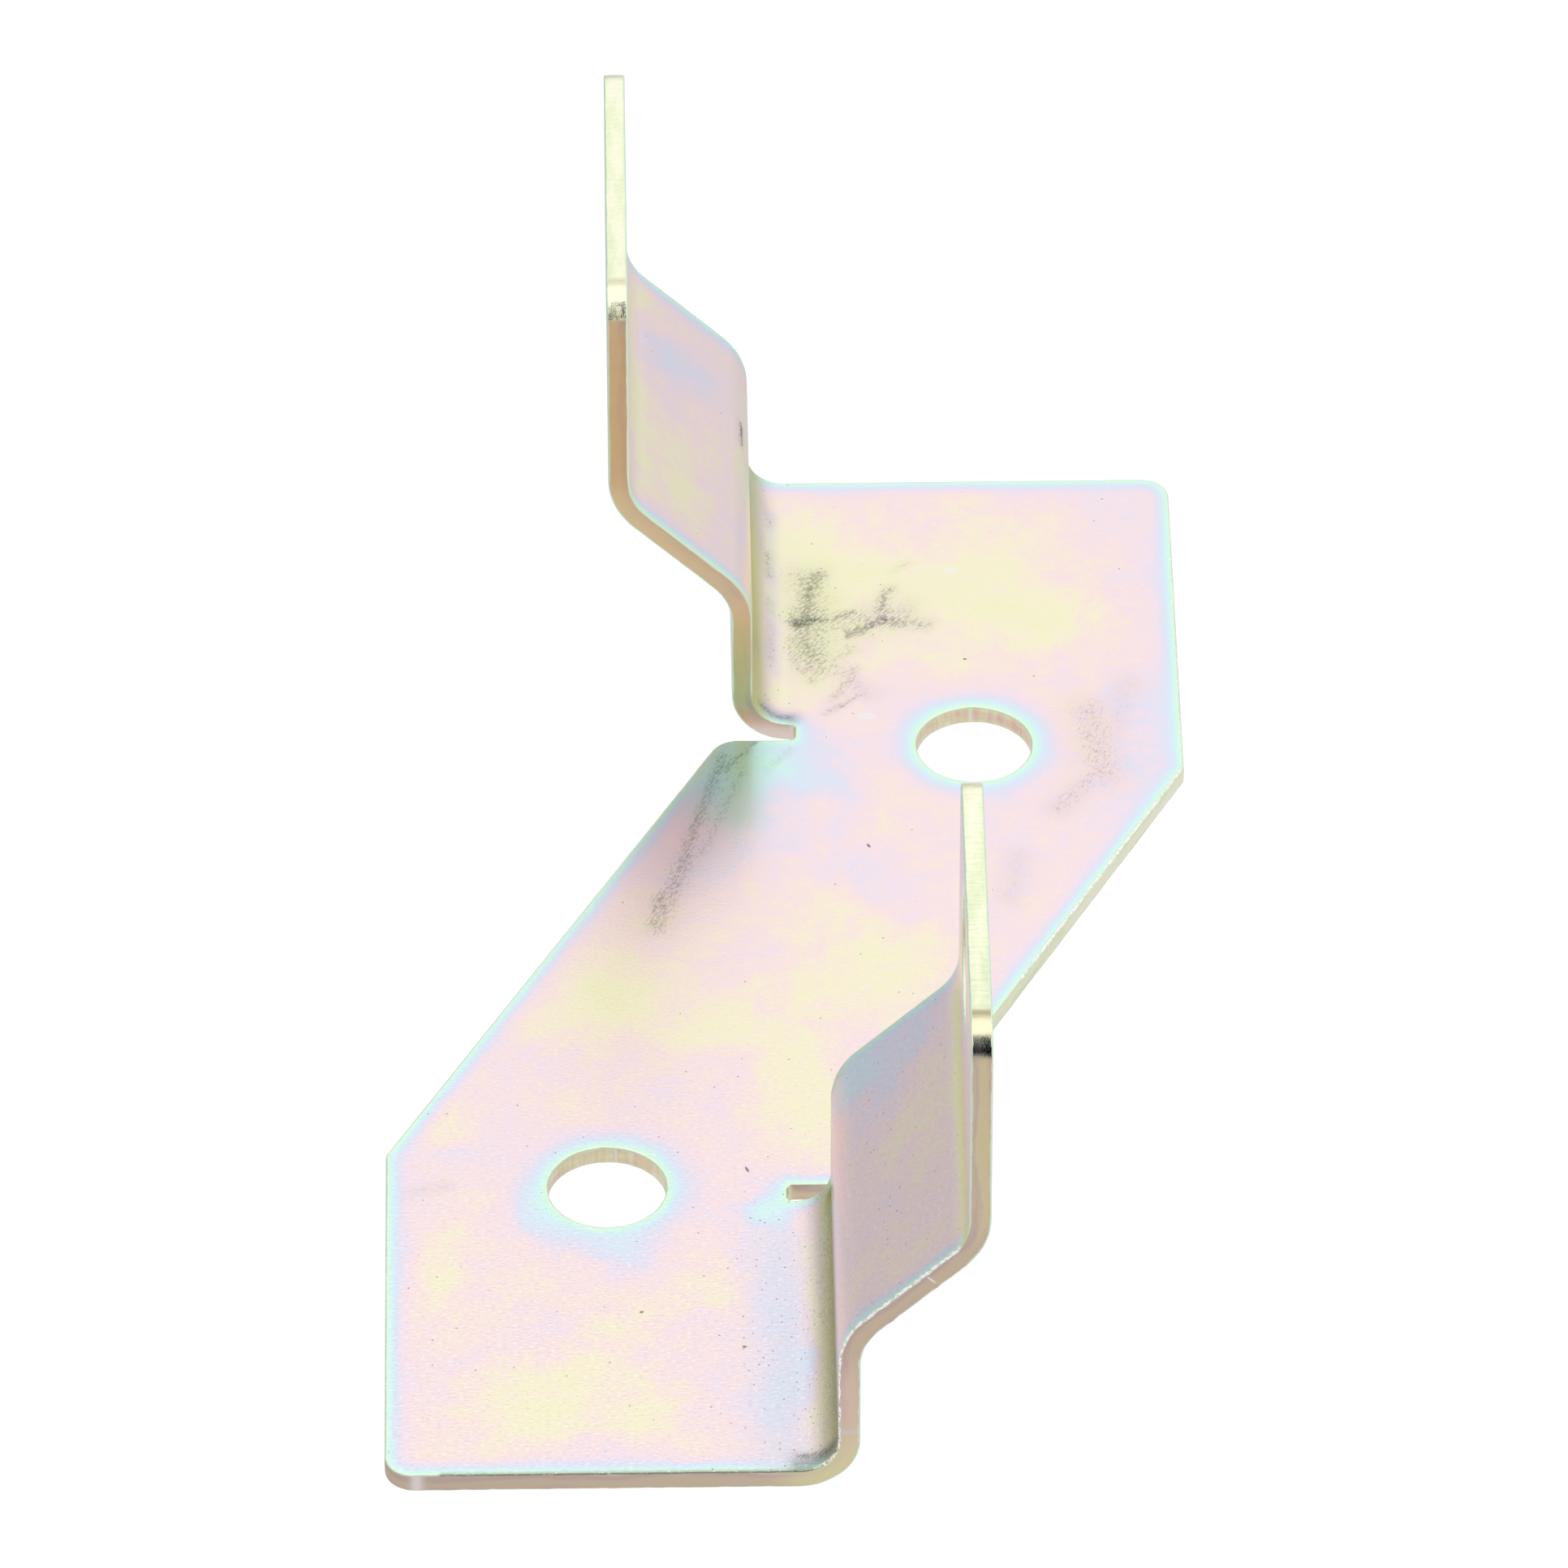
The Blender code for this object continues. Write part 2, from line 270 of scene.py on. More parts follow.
# Soft areas of thicker or thinner film on the inner face: name, x, y, half widths, turn in degrees, change
FILM_AREAS = (
    ("yellow rear field", 12.5, 56.0, 13.0, 9.5, 0, 0.21),
    ("yellow rear field's right end", 24.0, 50.0, 4.0, 4.5, -40, 0.16),
    ("peach rear field", 18.0, 54.5, 16.0, 13.0, 0, 0.06),
    ("yellow foot of rear bend", 2.4, 53.0, 3.0, 17.5, 0, 0.20),
    ("tan spot at rear right", 29.5, 49.5, 1.5, 1.5, 0, 0.14),
    ("yellow centre", 6.5, 0.5, 8.0, 7.0, 25, 0.20),
    ("yellow middle left", -12.0, -6.5, 9.0, 6.5, -15, 0.20),
    ("yellow middle low", 0.5, -18.0, 5.0, 8.5, 10, 0.19),
    ("yellow far left", -19.8, -8.0, 5.0, 4.5, 0, 0.14),
    ("yellow left of centre", -3.7, -10.5, 5.0, 4.0, 0, 0.12),
    ("yellow left edge", -32.3, -23.0, 2.6, 4.2, -20, 0.14),
    ("yellow left spot", -32.8, -43.5, 2.3, 4.2, 0, 0.22),
    ("yellow front field", -20.5, -61.0, 9.0, 6.0, 5, 0.20),
    ("yellow front tongue", -13.5, -64.5, 2.6, 5.0, 0, 0.10),
    ("peach above front field", -10.7, -48.5, 5.5, 3.0, 10, 0.13),
    ("lilac centre", 7.3, 11.5, 4.5, 4.0, 20, -0.15),
    ("lilac by centre", 1.0, 20.5, 4.5, 4.5, 0, -0.07),
    ("lavender by front hole", -23.2, -35.0, 2.4, 4.5, 0, -0.22),
    ("lavender under front hole", -18.8, -40.8, 4.0, 2.6, 0, -0.24),
    ("lavender along front bend", -3.6, -50.0, 3.4, 15.0, 0, -0.20),
    ("blue along front bend", -1.6, -59.0, 2.4, 9.0, 0, -0.16),
    ("cyan at front slot", -0.9, -35.3, 2.8, 2.4, 0, -0.46),
    ("cyan at rear slot", 1.6, 29.0, 5.5, 4.0, -30, -0.32),
    ("teal ear", -4.8, 28.0, 4.2, 4.8, 0, -0.55),
    ("lavender ear side", -6.0, 18.5, 5.0, 6.5, -15, -0.15),
    ("lavender right side", 33.8, 34.0, 4.2, 11.0, 0, -0.15),
    ("lavender rear right", 31.5, 60.0, 6.0, 7.0, 0, -0.08),
    ("blue along rear bend", -1.6, 58.0, 1.2, 11.0, 0, -0.22),
    ("cyan front joggle top", 22.0, -37.0, 8.0, 3.8, -12, -0.34),
    ("lavender front joggle", 21.5, -45.0, 4.5, 7.0, 0, -0.10),
    ("peach front joggle low", 25.0, -62.0, 6.0, 7.0, 0, 0.05),
    ("peach front joggle right", 30.0, -56.0, 3.4, 9.0, 0, 0.04),
    ("yellow beside the front bend", 2.5, -54.0, 1.5, 17.0, 0, 0.22),
    ("yellow front joggle bend", 34.4, -53.0, 1.3, 16.0, 0, 0.28),
    ("blue rear joggle", -26.0, 60.0, 4.5, 5.0, -20, -0.22),
    ("yellow rear joggle", -28.5, 45.0, 4.0, 6.0, 15, 0.20),
    ("lilac rear joggle", -22.5, 44.0, 3.0, 5.0, 0, -0.06),
    ("yellow rear joggle bend", -34.2, 53.0, 1.8, 17.0, 0, 0.26),
    ("yellow rear joggle foot", -18.0, 50.0, 1.6, 16.0, 0, 0.14),
)

# How the areas' outlines wander: spacing of the humps and their reach, in millimetres. The flat rubs follow
# a share of it.
AREA_DRIFTS = ((7.0, 2.4), (2.4, 0.9))
RUB_DRIFT_SHARE = 0.45

# Dark rubs on the inner face, in two kinds: name, from x, y to x, y, half width, strength
FLAT_RUBS = (
    ("upper blob", 3.0, 57.0, 1.6, 50.2, 1.8, 0.80),
    ("upper blob's right side", 3.6, 56.6, 2.8, 51.5, 1.3, 0.62),
    ("core by rear bend", 0.9, 49.6, 2.6, 50.2, 1.1, 1.00),
    ("under the core", 1.4, 49.2, 2.7, 44.2, 1.7, 0.72),
    ("lower blob", 0.8, 47.5, 1.6, 43.0, 1.1, 0.64),
    ("linking streak", 2.6, 49.7, 6.4, 51.3, 0.7, 0.80),
    ("darker streak", 6.0, 48.4, 9.4, 50.7, 0.7, 0.92),
    ("between the streaks", 4.0, 49.2, 7.4, 49.6, 1.1, 0.60),
    ("right cluster", 8.6, 50.2, 10.3, 53.6, 1.1, 0.74),
    ("right cluster's foot", 9.4, 50.6, 11.2, 50.4, 1.0, 0.76),
    ("right tail", 11.2, 50.6, 14.4, 49.6, 1.1, 0.62),
    ("thin streak", 10.8, 56.8, 13.0, 59.8, 0.4, 0.50),
    ("haze over the middle", 3.0, 46.5, 7.5, 48.5, 2.0, 0.46),
    ("broad smudge by the bend", 2.2, 56.5, 3.2, 43.5, 2.6, 0.62),
    ("broad smudge in the middle", 3.0, 50.0, 12.0, 51.0, 2.0, 0.58),
    ("broad smudge below", 3.0, 45.5, 8.0, 40.0, 1.8, 0.52),
    ("lower drift", 2.4, 41.6, 6.4, 46.2, 1.2, 0.58),
    ("lower streak", 4.6, 38.6, 6.9, 43.2, 1.0, 0.64),
    ("lower tail", 4.4, 35.8, 6.7, 38.9, 0.5, 0.74),
    ("foot of rear bend", -2.8, 36.4, 1.2, 35.4, 0.9, 0.75),
    ("first mottle of rear bend", -1.0, 68.0, -0.9, 64.2, 0.8, 0.46),
    ("second mottle of rear bend", -1.6, 61.7, -1.6, 57.4, 0.7, 0.42),
    ("third mottle of rear bend", -0.8, 59.8, -0.8, 55.4, 0.8, 0.62),
    ("fourth mottle of rear bend", -1.0, 51.7, -1.0, 50.0, 0.7, 0.56),
    ("fifth mottle of rear bend", -1.5, 48.6, -1.6, 44.0, 0.8, 0.52),
    ("dark spot on the rear upright", -18.9, 61.0, -18.8, 57.4, 0.5, 1.00),
    ("stain on left side", -35.4, -32.8, -32.0, -32.2, 0.9, 0.40),
    ("front end of front bend", 0.0, -69.6, 4.2, -70.2, 0.9, 0.85),
    ("shade in front bend", 4.6, -63.0, 5.2, -66.5, 0.6, 0.40),
)
SLANT_RUBS = (
    ("ear edge line", -2.9, 31.9, -5.9, 27.5, 0.5, 0.74),
    ("ear second line", 0.5, 30.7, -1.8, 27.6, 0.4, 0.56),
    ("ear haze", -5.0, 29.5, -8.4, 19.5, 2.4, 0.48),
    ("ear flank", -6.1, 29.6, -9.6, 16.5, 1.1, 0.74),
    ("ear inner flank", -4.0, 28.0, -8.2, 15.5, 0.9, 0.60),
    ("ear tail", -9.6, 15.5, -12.7, 5.0, 1.8, 0.70),
    ("ear tail end", -12.6, 9.0, -12.6, 4.4, 1.0, 0.74),
    ("right side rub", 29.4, 36.0, 30.4, 26.5, 2.8, 0.54),
    ("right side tail", 29.9, 27.0, 26.0, 21.5, 1.7, 0.52),
    ("right side haze", 33.2, 40.0, 31.0, 30.0, 1.8, 0.40),
    ("middle right smear", 22.0, 14.5, 21.0, 8.5, 1.6, 0.40),
)

# The angle that each kind of rub streaks at, in degrees
RUB_WAYS = (("flat_rub", 50.0), ("slant_rub", 66.0))

# Texture of the rubs: length and width of a stroke and size of a speck in millimetres, the specks' share,
# the level that the texture passes to mark the metal, how much a full rub lowers that level, how sharply a
# mark starts past it, and how dark the marks and the haze round them are
STROKE_SIZE = (0.85, 0.20)
RUB_SPECK_SIZE = 0.35
RUB_SPECK_SHARE = 0.38
RUB_LEVEL = 0.63
RUB_LOWERING = 0.26
RUB_SHARPNESS = 8.0
RUB_DARKNESS = 0.70
RUB_HAZE = 0.16

# Local colours of the plated face: name, from x, y to x, y, half width, strength, colour. One is painted
# shade and one a painted reflection.
SHEET_TINTS = (
    ("front upright's foot", 11.6, -37.0, 11.6, -71.0, 4.7, 0.85, "CFBCB4"),
    ("front bend's upper half", 5.3, -36.0, 5.3, -71.0, 1.3, 0.75, "A6A968"),
    ("rear upright's foot", -10.8, 37.0, -10.8, 71.0, 5.6, 0.85, "D4D8B8"),
    # Painted shade: the plate beside the front bend is darkened to a grey lavender
    ("beside the front bend", -1.8, -41.0, -1.8, -69.0, 2.8, 0.60, "DCE0ED"),
    ("front joggle's upper bend", 35.0, -38.0, 35.0, -71.0, 1.2, 0.85, "E0EEAA"),
    ("front upright's corner", 9.0, -34.4, 18.0, -34.4, 1.5, 0.55, "A9B8A8"),
    ("end of the front bend", -0.4, -70.6, 4.4, -70.2, 0.9, 0.70, "7C8C78"),
    ("foot of the rear bend", -2.6, 36.0, 0.8, 35.2, 0.8, 0.50, "A0AAB0"),
    ("teal ear", -4.6, 30.0, -6.6, 22.5, 2.8, 0.55, "B6F2E8"),
    ("teal beside the ear", -3.4, 30.5, -4.4, 21.0, 2.0, 0.50, "BCDCD8"),
    ("cold rear bend", -1.2, 42.0, -1.2, 66.0, 0.9, 0.35, "CDD6DC"),
    # Painted reflection: a dark line where the plate's rounded front edge mirrors the black cloth
    ("painted dark reflection along the plate's front", -33.0, -71.4, 1.0, -71.4, 0.22, 0.80, "77745C"),
)

# Local colours of the cut walls, in the same way. Some are painted light: a glint at the plate's corner, a
# highlight on the rear joggle's lower bend, and reflections round the tabs' top corners.
WALL_TINTS = (
    ("gold foot of the front upright", 0.5, -71.4, 6.0, -71.4, 3.0, 0.70, "F0EAB8"),
    ("pink over it", 9.0, -71.4, 13.0, -71.4, 3.0, 0.60, "F0D0C6"),
    ("mauve front joggle", 18.0, -71.4, 33.0, -71.4, 3.0, 0.45, "CDB6AE"),
    ("gold front tab", 42.0, -71.4, 54.0, -71.4, 5.0, 0.30, "E2D4AC"),
    ("mauve end of the plate", -38.0, -71.4, -4.0, -71.4, 3.0, 0.45, "D0BBB2"),
    ("brown corner of the plate", -38.2, -69.6, -38.2, -68.0, 1.2, 0.50, "C4B098"),
    ("pale scratch on the front upright's foot", 7.6, -71.4, 7.7, -71.4, 0.20, 0.45, "E2ECEC"),
    ("glint at the plate's corner", -35.4, -71.4, -35.2, -71.4, 0.5, 0.90, "FFF4F2"),
    ("gold rear tab", -37.0, 34.4, -54.0, 34.4, 3.0, 0.62, "E6C690"),
    ("gold rear joggle", -21.0, 34.4, -34.0, 34.4, 3.0, 0.75, "F8E6BA"),
    # Painted highlight: a bright orange stripe on the wall of the rear joggle's lower bend
    ("painted orange highlight on the bend under it", -17.5, 34.4, -16.5, 34.4, 1.4, 0.80, "FFE2B4"),
    ("olive rear foot", -8.0, 34.4, -14.5, 34.4, 2.4, 0.80, "F8DEA0"),
    ("pink end by the rear slot", -1.5, 34.4, 1.0, 34.4, 2.4, 0.85, "FFECE6"),
    # Painted reflections on the front tab's top corner: a dark line, a pale band and a dark band
    ("painted dark reflection line on the front tab's top", 58.9, -68.1, 58.9, -67.7, 0.42, 0.80, "A39472"),
    ("painted dark reflection on the front tab's corner", 58.25, -70.5, 57.1, -71.25, 0.36, 0.95, "2E323C"),
    ("painted pale reflection at the front tab's top end", 58.9, -70.4, 58.9, -69.0, 0.7, 0.75, "FFF2CC"),
    # Painted reflections on the rear tab's top corner: a dark line and a pale band
    ("painted dark reflection line on the rear tab's top", -58.9, 37.9, -58.9, 37.6, 0.34, 0.45, "B0A68C"),
    ("painted pale reflection at the rear tab's top end", -58.9, 36.8, -58.9, 35.4, 0.7, 0.70, "FFF4DA"),
)

# Where a burr stands on the edge, painted white as a highlight: name, from x, y to x, y, half width, strength
BURRS_AND_GLINTS = (
    ("front upright's profile", 2.4, -71.4, 33.0, -71.4, 0.9, 1.00),
    ("front of the plate", -36.0, -71.4, 2.0, -71.4, 0.9, 0.38),
    ("right slanted side", 38.2, 27.0, 22.0, -3.0, 0.9, 1.00),
    ("right side", 38.2, 60.0, 38.2, 28.0, 0.9, 0.66),
    ("front slot", -0.6, -34.4, 4.6, -34.4, 0.9, 0.60),
    ("rear slot", 0.6, 34.4, -4.6, 34.4, 0.9, 0.60),
    ("rear upright's profile", -5.0, 34.4, -34.0, 34.4, 0.9, 0.30),
)

# The burr's line, painted white as a highlight: size of its beads in millimetres, the level that they pass to
# show, how much a full burr lowers that level, how sharply a bead starts, and how far from the edge the line
# ends and is whole
BEAD_SIZE = 0.35
BURR_LEVEL = 0.92
BURR_LOWERING = 0.52
BURR_SHARPNESS = 9.0
BURR_END = 0.38
BURR_WHOLE = 0.22

# Where the plating is pitted: name, from x, y to x, y, half width, strength
PITTED = (
    ("front bend", 1.6, -37.0, 1.6, -71.0, 3.2, 1.00),
    ("beside the front bend", -2.8, -38.0, -2.8, -70.0, 2.8, 0.50),
    ("front joggle", 26.0, -45.0, 26.0, -64.0, 6.0, 0.16),
    ("rear bend", -1.6, 38.0, -1.6, 68.0, 2.0, 0.20),
    ("rear clusters", 1.0, 52.0, 10.0, 50.0, 5.0, 0.14),
)

# Dark pits, and white specks that are painted glints of the peel, lie in cells this far apart, in
# millimetres. Each has a radius, as a share of that, and a chance that a cell holds one: on the open sheet,
# more in a pitted area, and more at the front.
PIT_SPACING = 0.44
PIT_RADIUS_SHARE = 0.20
GLINT_SPECK_RADIUS_SHARE = 0.18
OPEN_CHANCE = 0.004
PITTED_CHANCE = 0.40
FRONT_CHANCE = 0.014

# Orange peel: length and width of its dashes in millimetres. Its crests get a painted highlight and its
# hollows painted shade:
# slope and offset of each mask on the peel's value, how clear they are at the rear, and the front's gain.
PEEL_SIZE = (0.50, 0.27)
CREST_HIGHLIGHT_LINE = (7.0, -3.9)
HOLLOW_SHADE_LINE = (-7.0, 3.1)
REAR_RIPPLE = 0.15
FRONT_RIPPLE = 0.85

# Heights as shares of the orange peel's: the peel at the rear, its gain at the front, the pits and the burr
REAR_PEEL = 0.45
FRONT_PEEL = 0.80
PIT_DEPTH = 0.60
BURR_HEIGHT = 1.20

# The plating turns coarser from here towards the front, over this length, in millimetres
COARSE_START = 10.0
COARSE_LENGTH = 60.0

# How the walls are told apart, in millimetres: a tab's top and corners start this far from its end and fade
# in over a short length, and a hole's wall is this near the hole. The plate's side counts in full before it
# faces straight right.
TOP_REACH = 2.3
TOP_FADE = 0.4
HOLE_REACH = 0.5
SIDE_GAIN = 1.3

# Small marks: name, x, y, half length, half width, turn in degrees. Those on a cut wall may also have the
# height of their middle in the sheet and half their height there; without them a mark runs right through.
DARK_MARKS = (
    ("nick before the slot", -4.6, -30.0, 0.45, 0.13, 110),
    ("fleck in the middle", 7.7, 16.3, 0.32, 0.14, 120),
    ("fleck in the front field", -14.6, -49.6, 0.22, 0.14, 20),
    ("fleck by the front bend", -5.2, -54.5, 0.22, 0.16, 0),
    ("fleck at the ear", 17.6, 44.0, 0.18, 0.14, 0),
)
PALE_MARKS = (
    ("bare spot in the rear field", 16.6, 57.5, 0.70, 0.62, 0),
    ("bare spot by the rear hole", 7.9, 35.6, 0.95, 0.50, 0),
    ("scratch by the front slot", -2.8, -36.1, 0.95, 0.05, -20),
    ("speck under the front hole", -18.7, -38.2, 0.22, 0.16, 0),
)
LEAD_INS = (
    ("front hole's lead-in", -16.8, -26.8, 0.11, 0.9, 0),
    ("rear hole's lead-in", 17.95, 36.7, 0.11, 0.9, 0),
    ("nick in the front joggle", 28.7, -71.4, 0.12, 0.9, 0, 1.15, 0.60),
)

# A mark is whole inside the first share of its size, and gone at the second
MARK_WHOLE_SHARE = 0.75
MARK_END_SHARE = 1.15

# Colours of the holes' walls, and of the tabs' tops and the plate's right side
HOLE_COLOURS = ((0.36, "EBC8BC"), (0.50, "F5DCC6"), (0.62, "F2E8BE"), (0.74, "FAF4DE"))
TOP_COLOURS = ((0.34, "FEFAE6"), (0.54, "F9FBDE"), (0.72, "EDF5CE"), (0.90, "DCECCA"))

# Height of the relief on a cut wall, in metres
WALL_RELIEF = 0.000025


def segment_distance(points, a, b):
    """Distance from each point to the segment from a to b."""
    run = b - a
    share = np.clip(((points - a) @ run) / max(run @ run, 1e-12), 0.0, 1.0)
    return np.linalg.norm(points - a - share[:, None] * run, axis=1)


def edge_distance(points, loops):
    """Distance from each point to the nearest segment of some closed loops."""
    nearest = np.full(len(points), np.inf)
    for loop in loops:
        for a, b in zip(loop, np.roll(loop, -1, axis=0)):
            nearest = np.minimum(nearest, segment_distance(points, a, b))
    return nearest


def inside(points, loops):
    """Whether each point lies in the sheet: an odd number of loop crossings to its right."""
    odd = np.zeros(len(points), bool)
    x, y = points.T
    for loop in loops:
        for (ax, ay), (bx, by) in zip(loop, np.roll(loop, -1, axis=0)):
            if ay == by:
                continue
            crosses = (ay > y) != (by > y)
            odd ^= crosses & (x < ax + (y - ay) * (bx - ax) / (by - ay))
    return odd


def rounded_loop(corners):
    """A closed loop whose corners, given as (x, y, radius), are true arcs, with points evenly filled in."""
    loop = []
    for k, (x, y, radius) in enumerate(corners):
        corner = Vector((x, y))
        before = Vector(corners[k - 1][:2]) - corner
        after = Vector(corners[(k + 1) % len(corners)][:2]) - corner
        turn = math.pi - before.angle(after)
        start = corner + radius * math.tan(turn / 2) * before.normalized()
        middle = (before.normalized() + after.normalized()).normalized()
        centre = corner + middle * radius / math.cos(turn / 2)
        side = 1 if before.cross(after) < 0 else -1
        steps = max(4, math.ceil(radius * turn / ARC_STEP))
        for step in range(steps + 1):
            point = centre + Matrix.Rotation(side * turn * step / steps, 2) @ (start - centre)
            if not loop or (point - Vector(loop[-1])).length > 1e-4:
                loop.append(tuple(point))
    filled = []
    for a, b in zip(loop, loop[1:] + loop[:1]):
        a, b = np.array(a), np.array(b)
        pieces = max(1, math.ceil(np.linalg.norm(b - a) / EDGE_STEP))
        filled += [a + (b - a) * k / pieces for k in range(pieces)]
    return np.array(filled)


def hole_loop(centre, diameter):
    """A round hole's loop."""
    turns = np.arange(HOLE_STEPS) * 2 * math.pi / HOLE_STEPS
    return np.array(centre) + diameter / 2 * np.column_stack((np.cos(turns), np.sin(turns)))


def signed_area(loop):
    """Area inside a loop, below zero if the loop runs clockwise."""
    ahead = np.roll(loop, -1, axis=0)
    return 0.5 * np.sum(loop[:, 0] * ahead[:, 1] - ahead[:, 0] * loop[:, 1])


def into_sheet(loop):
    """Unit directions from a loop's points into the sheet, which lies on the loop's left."""
    ahead = np.roll(loop, -1, axis=0) - loop
    ahead /= np.linalg.norm(ahead, axis=1)[:, None]
    behind = np.roll(ahead, 1, axis=0)
    along = ahead + behind
    along /= np.linalg.norm(along, axis=1)[:, None]
    return np.column_stack((-along[:, 1], along[:, 0]))


class Blank:
    """The flat blank and the way that it folds, in millimetres."""

    def __init__(self, shape):
        self.thickness = shape.thickness / MM
        self.edge_round = shape.edge_round / MM
        self.bulge = shape.wall_bulge / MM
        half_width, half_length = shape.width / 2 / MM, shape.length / 2 / MM
        face, radius = shape.upright_face / MM, shape.bend_radius / MM
        joggle_radius, angle = shape.joggle_radius / MM, shape.joggle_angle
        setback = math.tan(angle / 2)
        offset = shape.joggle_offset / MM
        tab_rise = (shape.height - shape.lower_rise) / MM - offset / math.tan(angle)
        slant = offset / math.sin(angle) - (2 * joggle_radius + self.thickness) * setback
        lower = shape.lower_rise / MM - radius - self.thickness - joggle_radius * setback
        self.bend_line = face - self.thickness - radius
        self.neutral = shape.neutral_share * self.thickness
        self.pieces = self.fold_pieces((
            (math.pi / 2, radius),
            (0.0, lower),
            (-angle, joggle_radius),
            (0.0, slant),
            (angle, joggle_radius),
            (0.0, tab_rise - (joggle_radius + self.thickness) * setback),
        ))
        strip_end = self.bend_line + self.pieces[-1]["end"]
        reach, slot = shape.ear_reach / MM, shape.slot_width / MM
        self.slot_middle = reach + slot / 2
        slot_end = self.bend_line - shape.slot_overrun / MM
        slot_corner, tab_corner = shape.slot_corner / MM, shape.tab_corner / MM
        half = [
            (-half_width, -half_length, shape.plate_corner / MM),
            (-half_width, -shape.slant_start / MM, shape.slant_corner / MM),
            (-shape.ear_width / MM, reach, shape.ear_corner / MM),
            (-slot_end, reach, slot_corner),
            (-slot_end, reach + slot, slot_corner),
            (-strip_end, reach + slot, tab_corner),
            (-strip_end, half_length, tab_corner),
        ]
        self.outline = rounded_loop(half + [(-x, -y, r) for x, y, r in half])
        front, rear, tab = (np.array(place) / MM for place in
                            (shape.front_hole_place, shape.rear_hole_place, shape.tab_hole_place))
        corner = np.array((half_width, half_length))
        tab_centre = np.array((strip_end - tab[0], -reach - slot - tab[1]))
        self.plate_holes = [hole_loop(front - corner, shape.plate_hole / MM),
                            hole_loop(corner - rear, shape.plate_hole / MM)]
        self.tab_holes = [hole_loop(tab_centre, shape.tab_hole / MM),
                          hole_loop(-tab_centre, shape.tab_hole / MM)]
        if signed_area(self.outline) < 0:
            self.outline = self.outline[::-1]
        self.plate_holes = [loop[::-1] for loop in self.plate_holes]
        self.tab_holes = [loop[::-1] for loop in self.tab_holes]
        self.loops = [self.outline] + self.plate_holes + self.tab_holes

    def fold_pieces(self, moves):
        """Straight runs and bends of the upright's section: where each starts and ends, and its heading."""
        point, heading, flat, pieces = np.array((self.bend_line, 0.0)), 0.0, 0.0, []
        for angle, size in moves:
            piece = {"start": flat, "point": point, "heading": heading, "angle": angle}
            if angle:
                piece["arm"] = size + self.thickness if angle > 0 else -size
                flat += abs(angle) * (size + self.neutral)
                piece["centre"] = point + piece["arm"] * np.array((-math.sin(heading), math.cos(heading)))
                heading += angle
                point = piece["centre"] - piece["arm"] * np.array((-math.sin(heading), math.cos(heading)))
            else:
                flat += size
                point = point + size * np.array((math.cos(heading), math.sin(heading)))
            piece["end"] = flat
            pieces.append(piece)
        return pieces

    def strip_side(self, places):
        """+1 in the front strip, -1 in the rear one and 0 in the plate."""
        x, y = places[:, 0], places[:, 1]
        front = (x > self.bend_line) & (y < -self.slot_middle)
        rear = (-x > self.bend_line) & (-y < -self.slot_middle)
        return front.astype(int) - rear.astype(int)

    def folded(self, places, normals):
        """Fold flat places, and the directions that the surface faces there."""
        side = self.strip_side(places)
        turn = np.where(side < 0, -1.0, 1.0)
        flat_x, out_x = places[:, 0] * turn, normals[:, 0] * turn
        new_places, new_normals = places.copy(), normals.copy()
        along = flat_x - self.bend_line
        for number, piece in enumerate(self.pieces):
            last = number == len(self.pieces) - 1
            here = (side != 0) & (along > piece["start"]) & ((along <= piece["end"]) | last)
            run = along[here] - piece["start"]
            if piece["angle"]:
                heading = piece["heading"] + piece["angle"] * run / (piece["end"] - piece["start"])
                inward = np.column_stack((-np.sin(heading), np.cos(heading)))
                outer = piece["centre"] - piece["arm"] * inward
            else:
                heading = np.full(len(run), piece["heading"])
                inward = np.column_stack((-np.sin(heading), np.cos(heading)))
                outer = piece["point"] + run[:, None] * np.column_stack((np.cos(heading), np.sin(heading)))
            section = outer + places[here, 2:3] * inward
            new_places[here, 0] = section[:, 0] * turn[here]
            new_places[here, 2] = section[:, 1]
            ahead = np.column_stack((np.cos(heading), np.sin(heading)))
            facing = out_x[here, None] * ahead + normals[here, 2:3] * inward
            new_normals[here, 0] = facing[:, 0] * turn[here]
            new_normals[here, 2] = facing[:, 1]
        return new_places, new_normals

    def bend_amount(self, places):
        """How much the bend at an upright's foot squeezes each place: most in its upper half."""
        side = self.strip_side(places)
        along = np.abs(places[:, 0]) * np.where(places[:, 0] * places[:, 1] < 0, 1, -1) - self.bend_line
        share = along / self.pieces[0]["end"]
        # It comes in over the middle half of the bend, and goes out where the bend ends
        rise = np.clip((share - 0.25) / 0.5, 0.0, 1.0) * np.clip((1.08 - share) / 0.16, 0.0, 1.0)
        return np.where(side != 0, rise * rise * (3 - 2 * rise), 0.0)


def smooth_noise(count, spacing, random):
    """A closed row of random values between 0 and 1, smoothed over some steps."""
    knots = random.random(max(4, count // spacing))
    at = np.arange(count) * len(knots) / count
    low = np.floor(at).astype(int)
    share = at - low
    share = share * share * (3 - 2 * share)
    return knots[low % len(knots)] * (1 - share) + knots[(low + 1) % len(knots)] * share


def cloudy(places, spacing, random):
    """Smooth random values between -1 and 1 over the sheet, with humps about one spacing apart."""
    cell = (places - places.min(0)) / spacing
    knots = random.random(np.ceil(cell.max(0)).astype(int) + 2) * 2 - 1
    low = np.floor(cell).astype(int)
    share = cell - low
    share = share * share * (3 - 2 * share)
    (i, j), (s, t) = low.T, share.T
    near = knots[i, j] * (1 - s) + knots[i + 1, j] * s
    far = knots[i, j + 1] * (1 - s) + knots[i + 1, j + 1] * s
    return near * (1 - t) + far * t


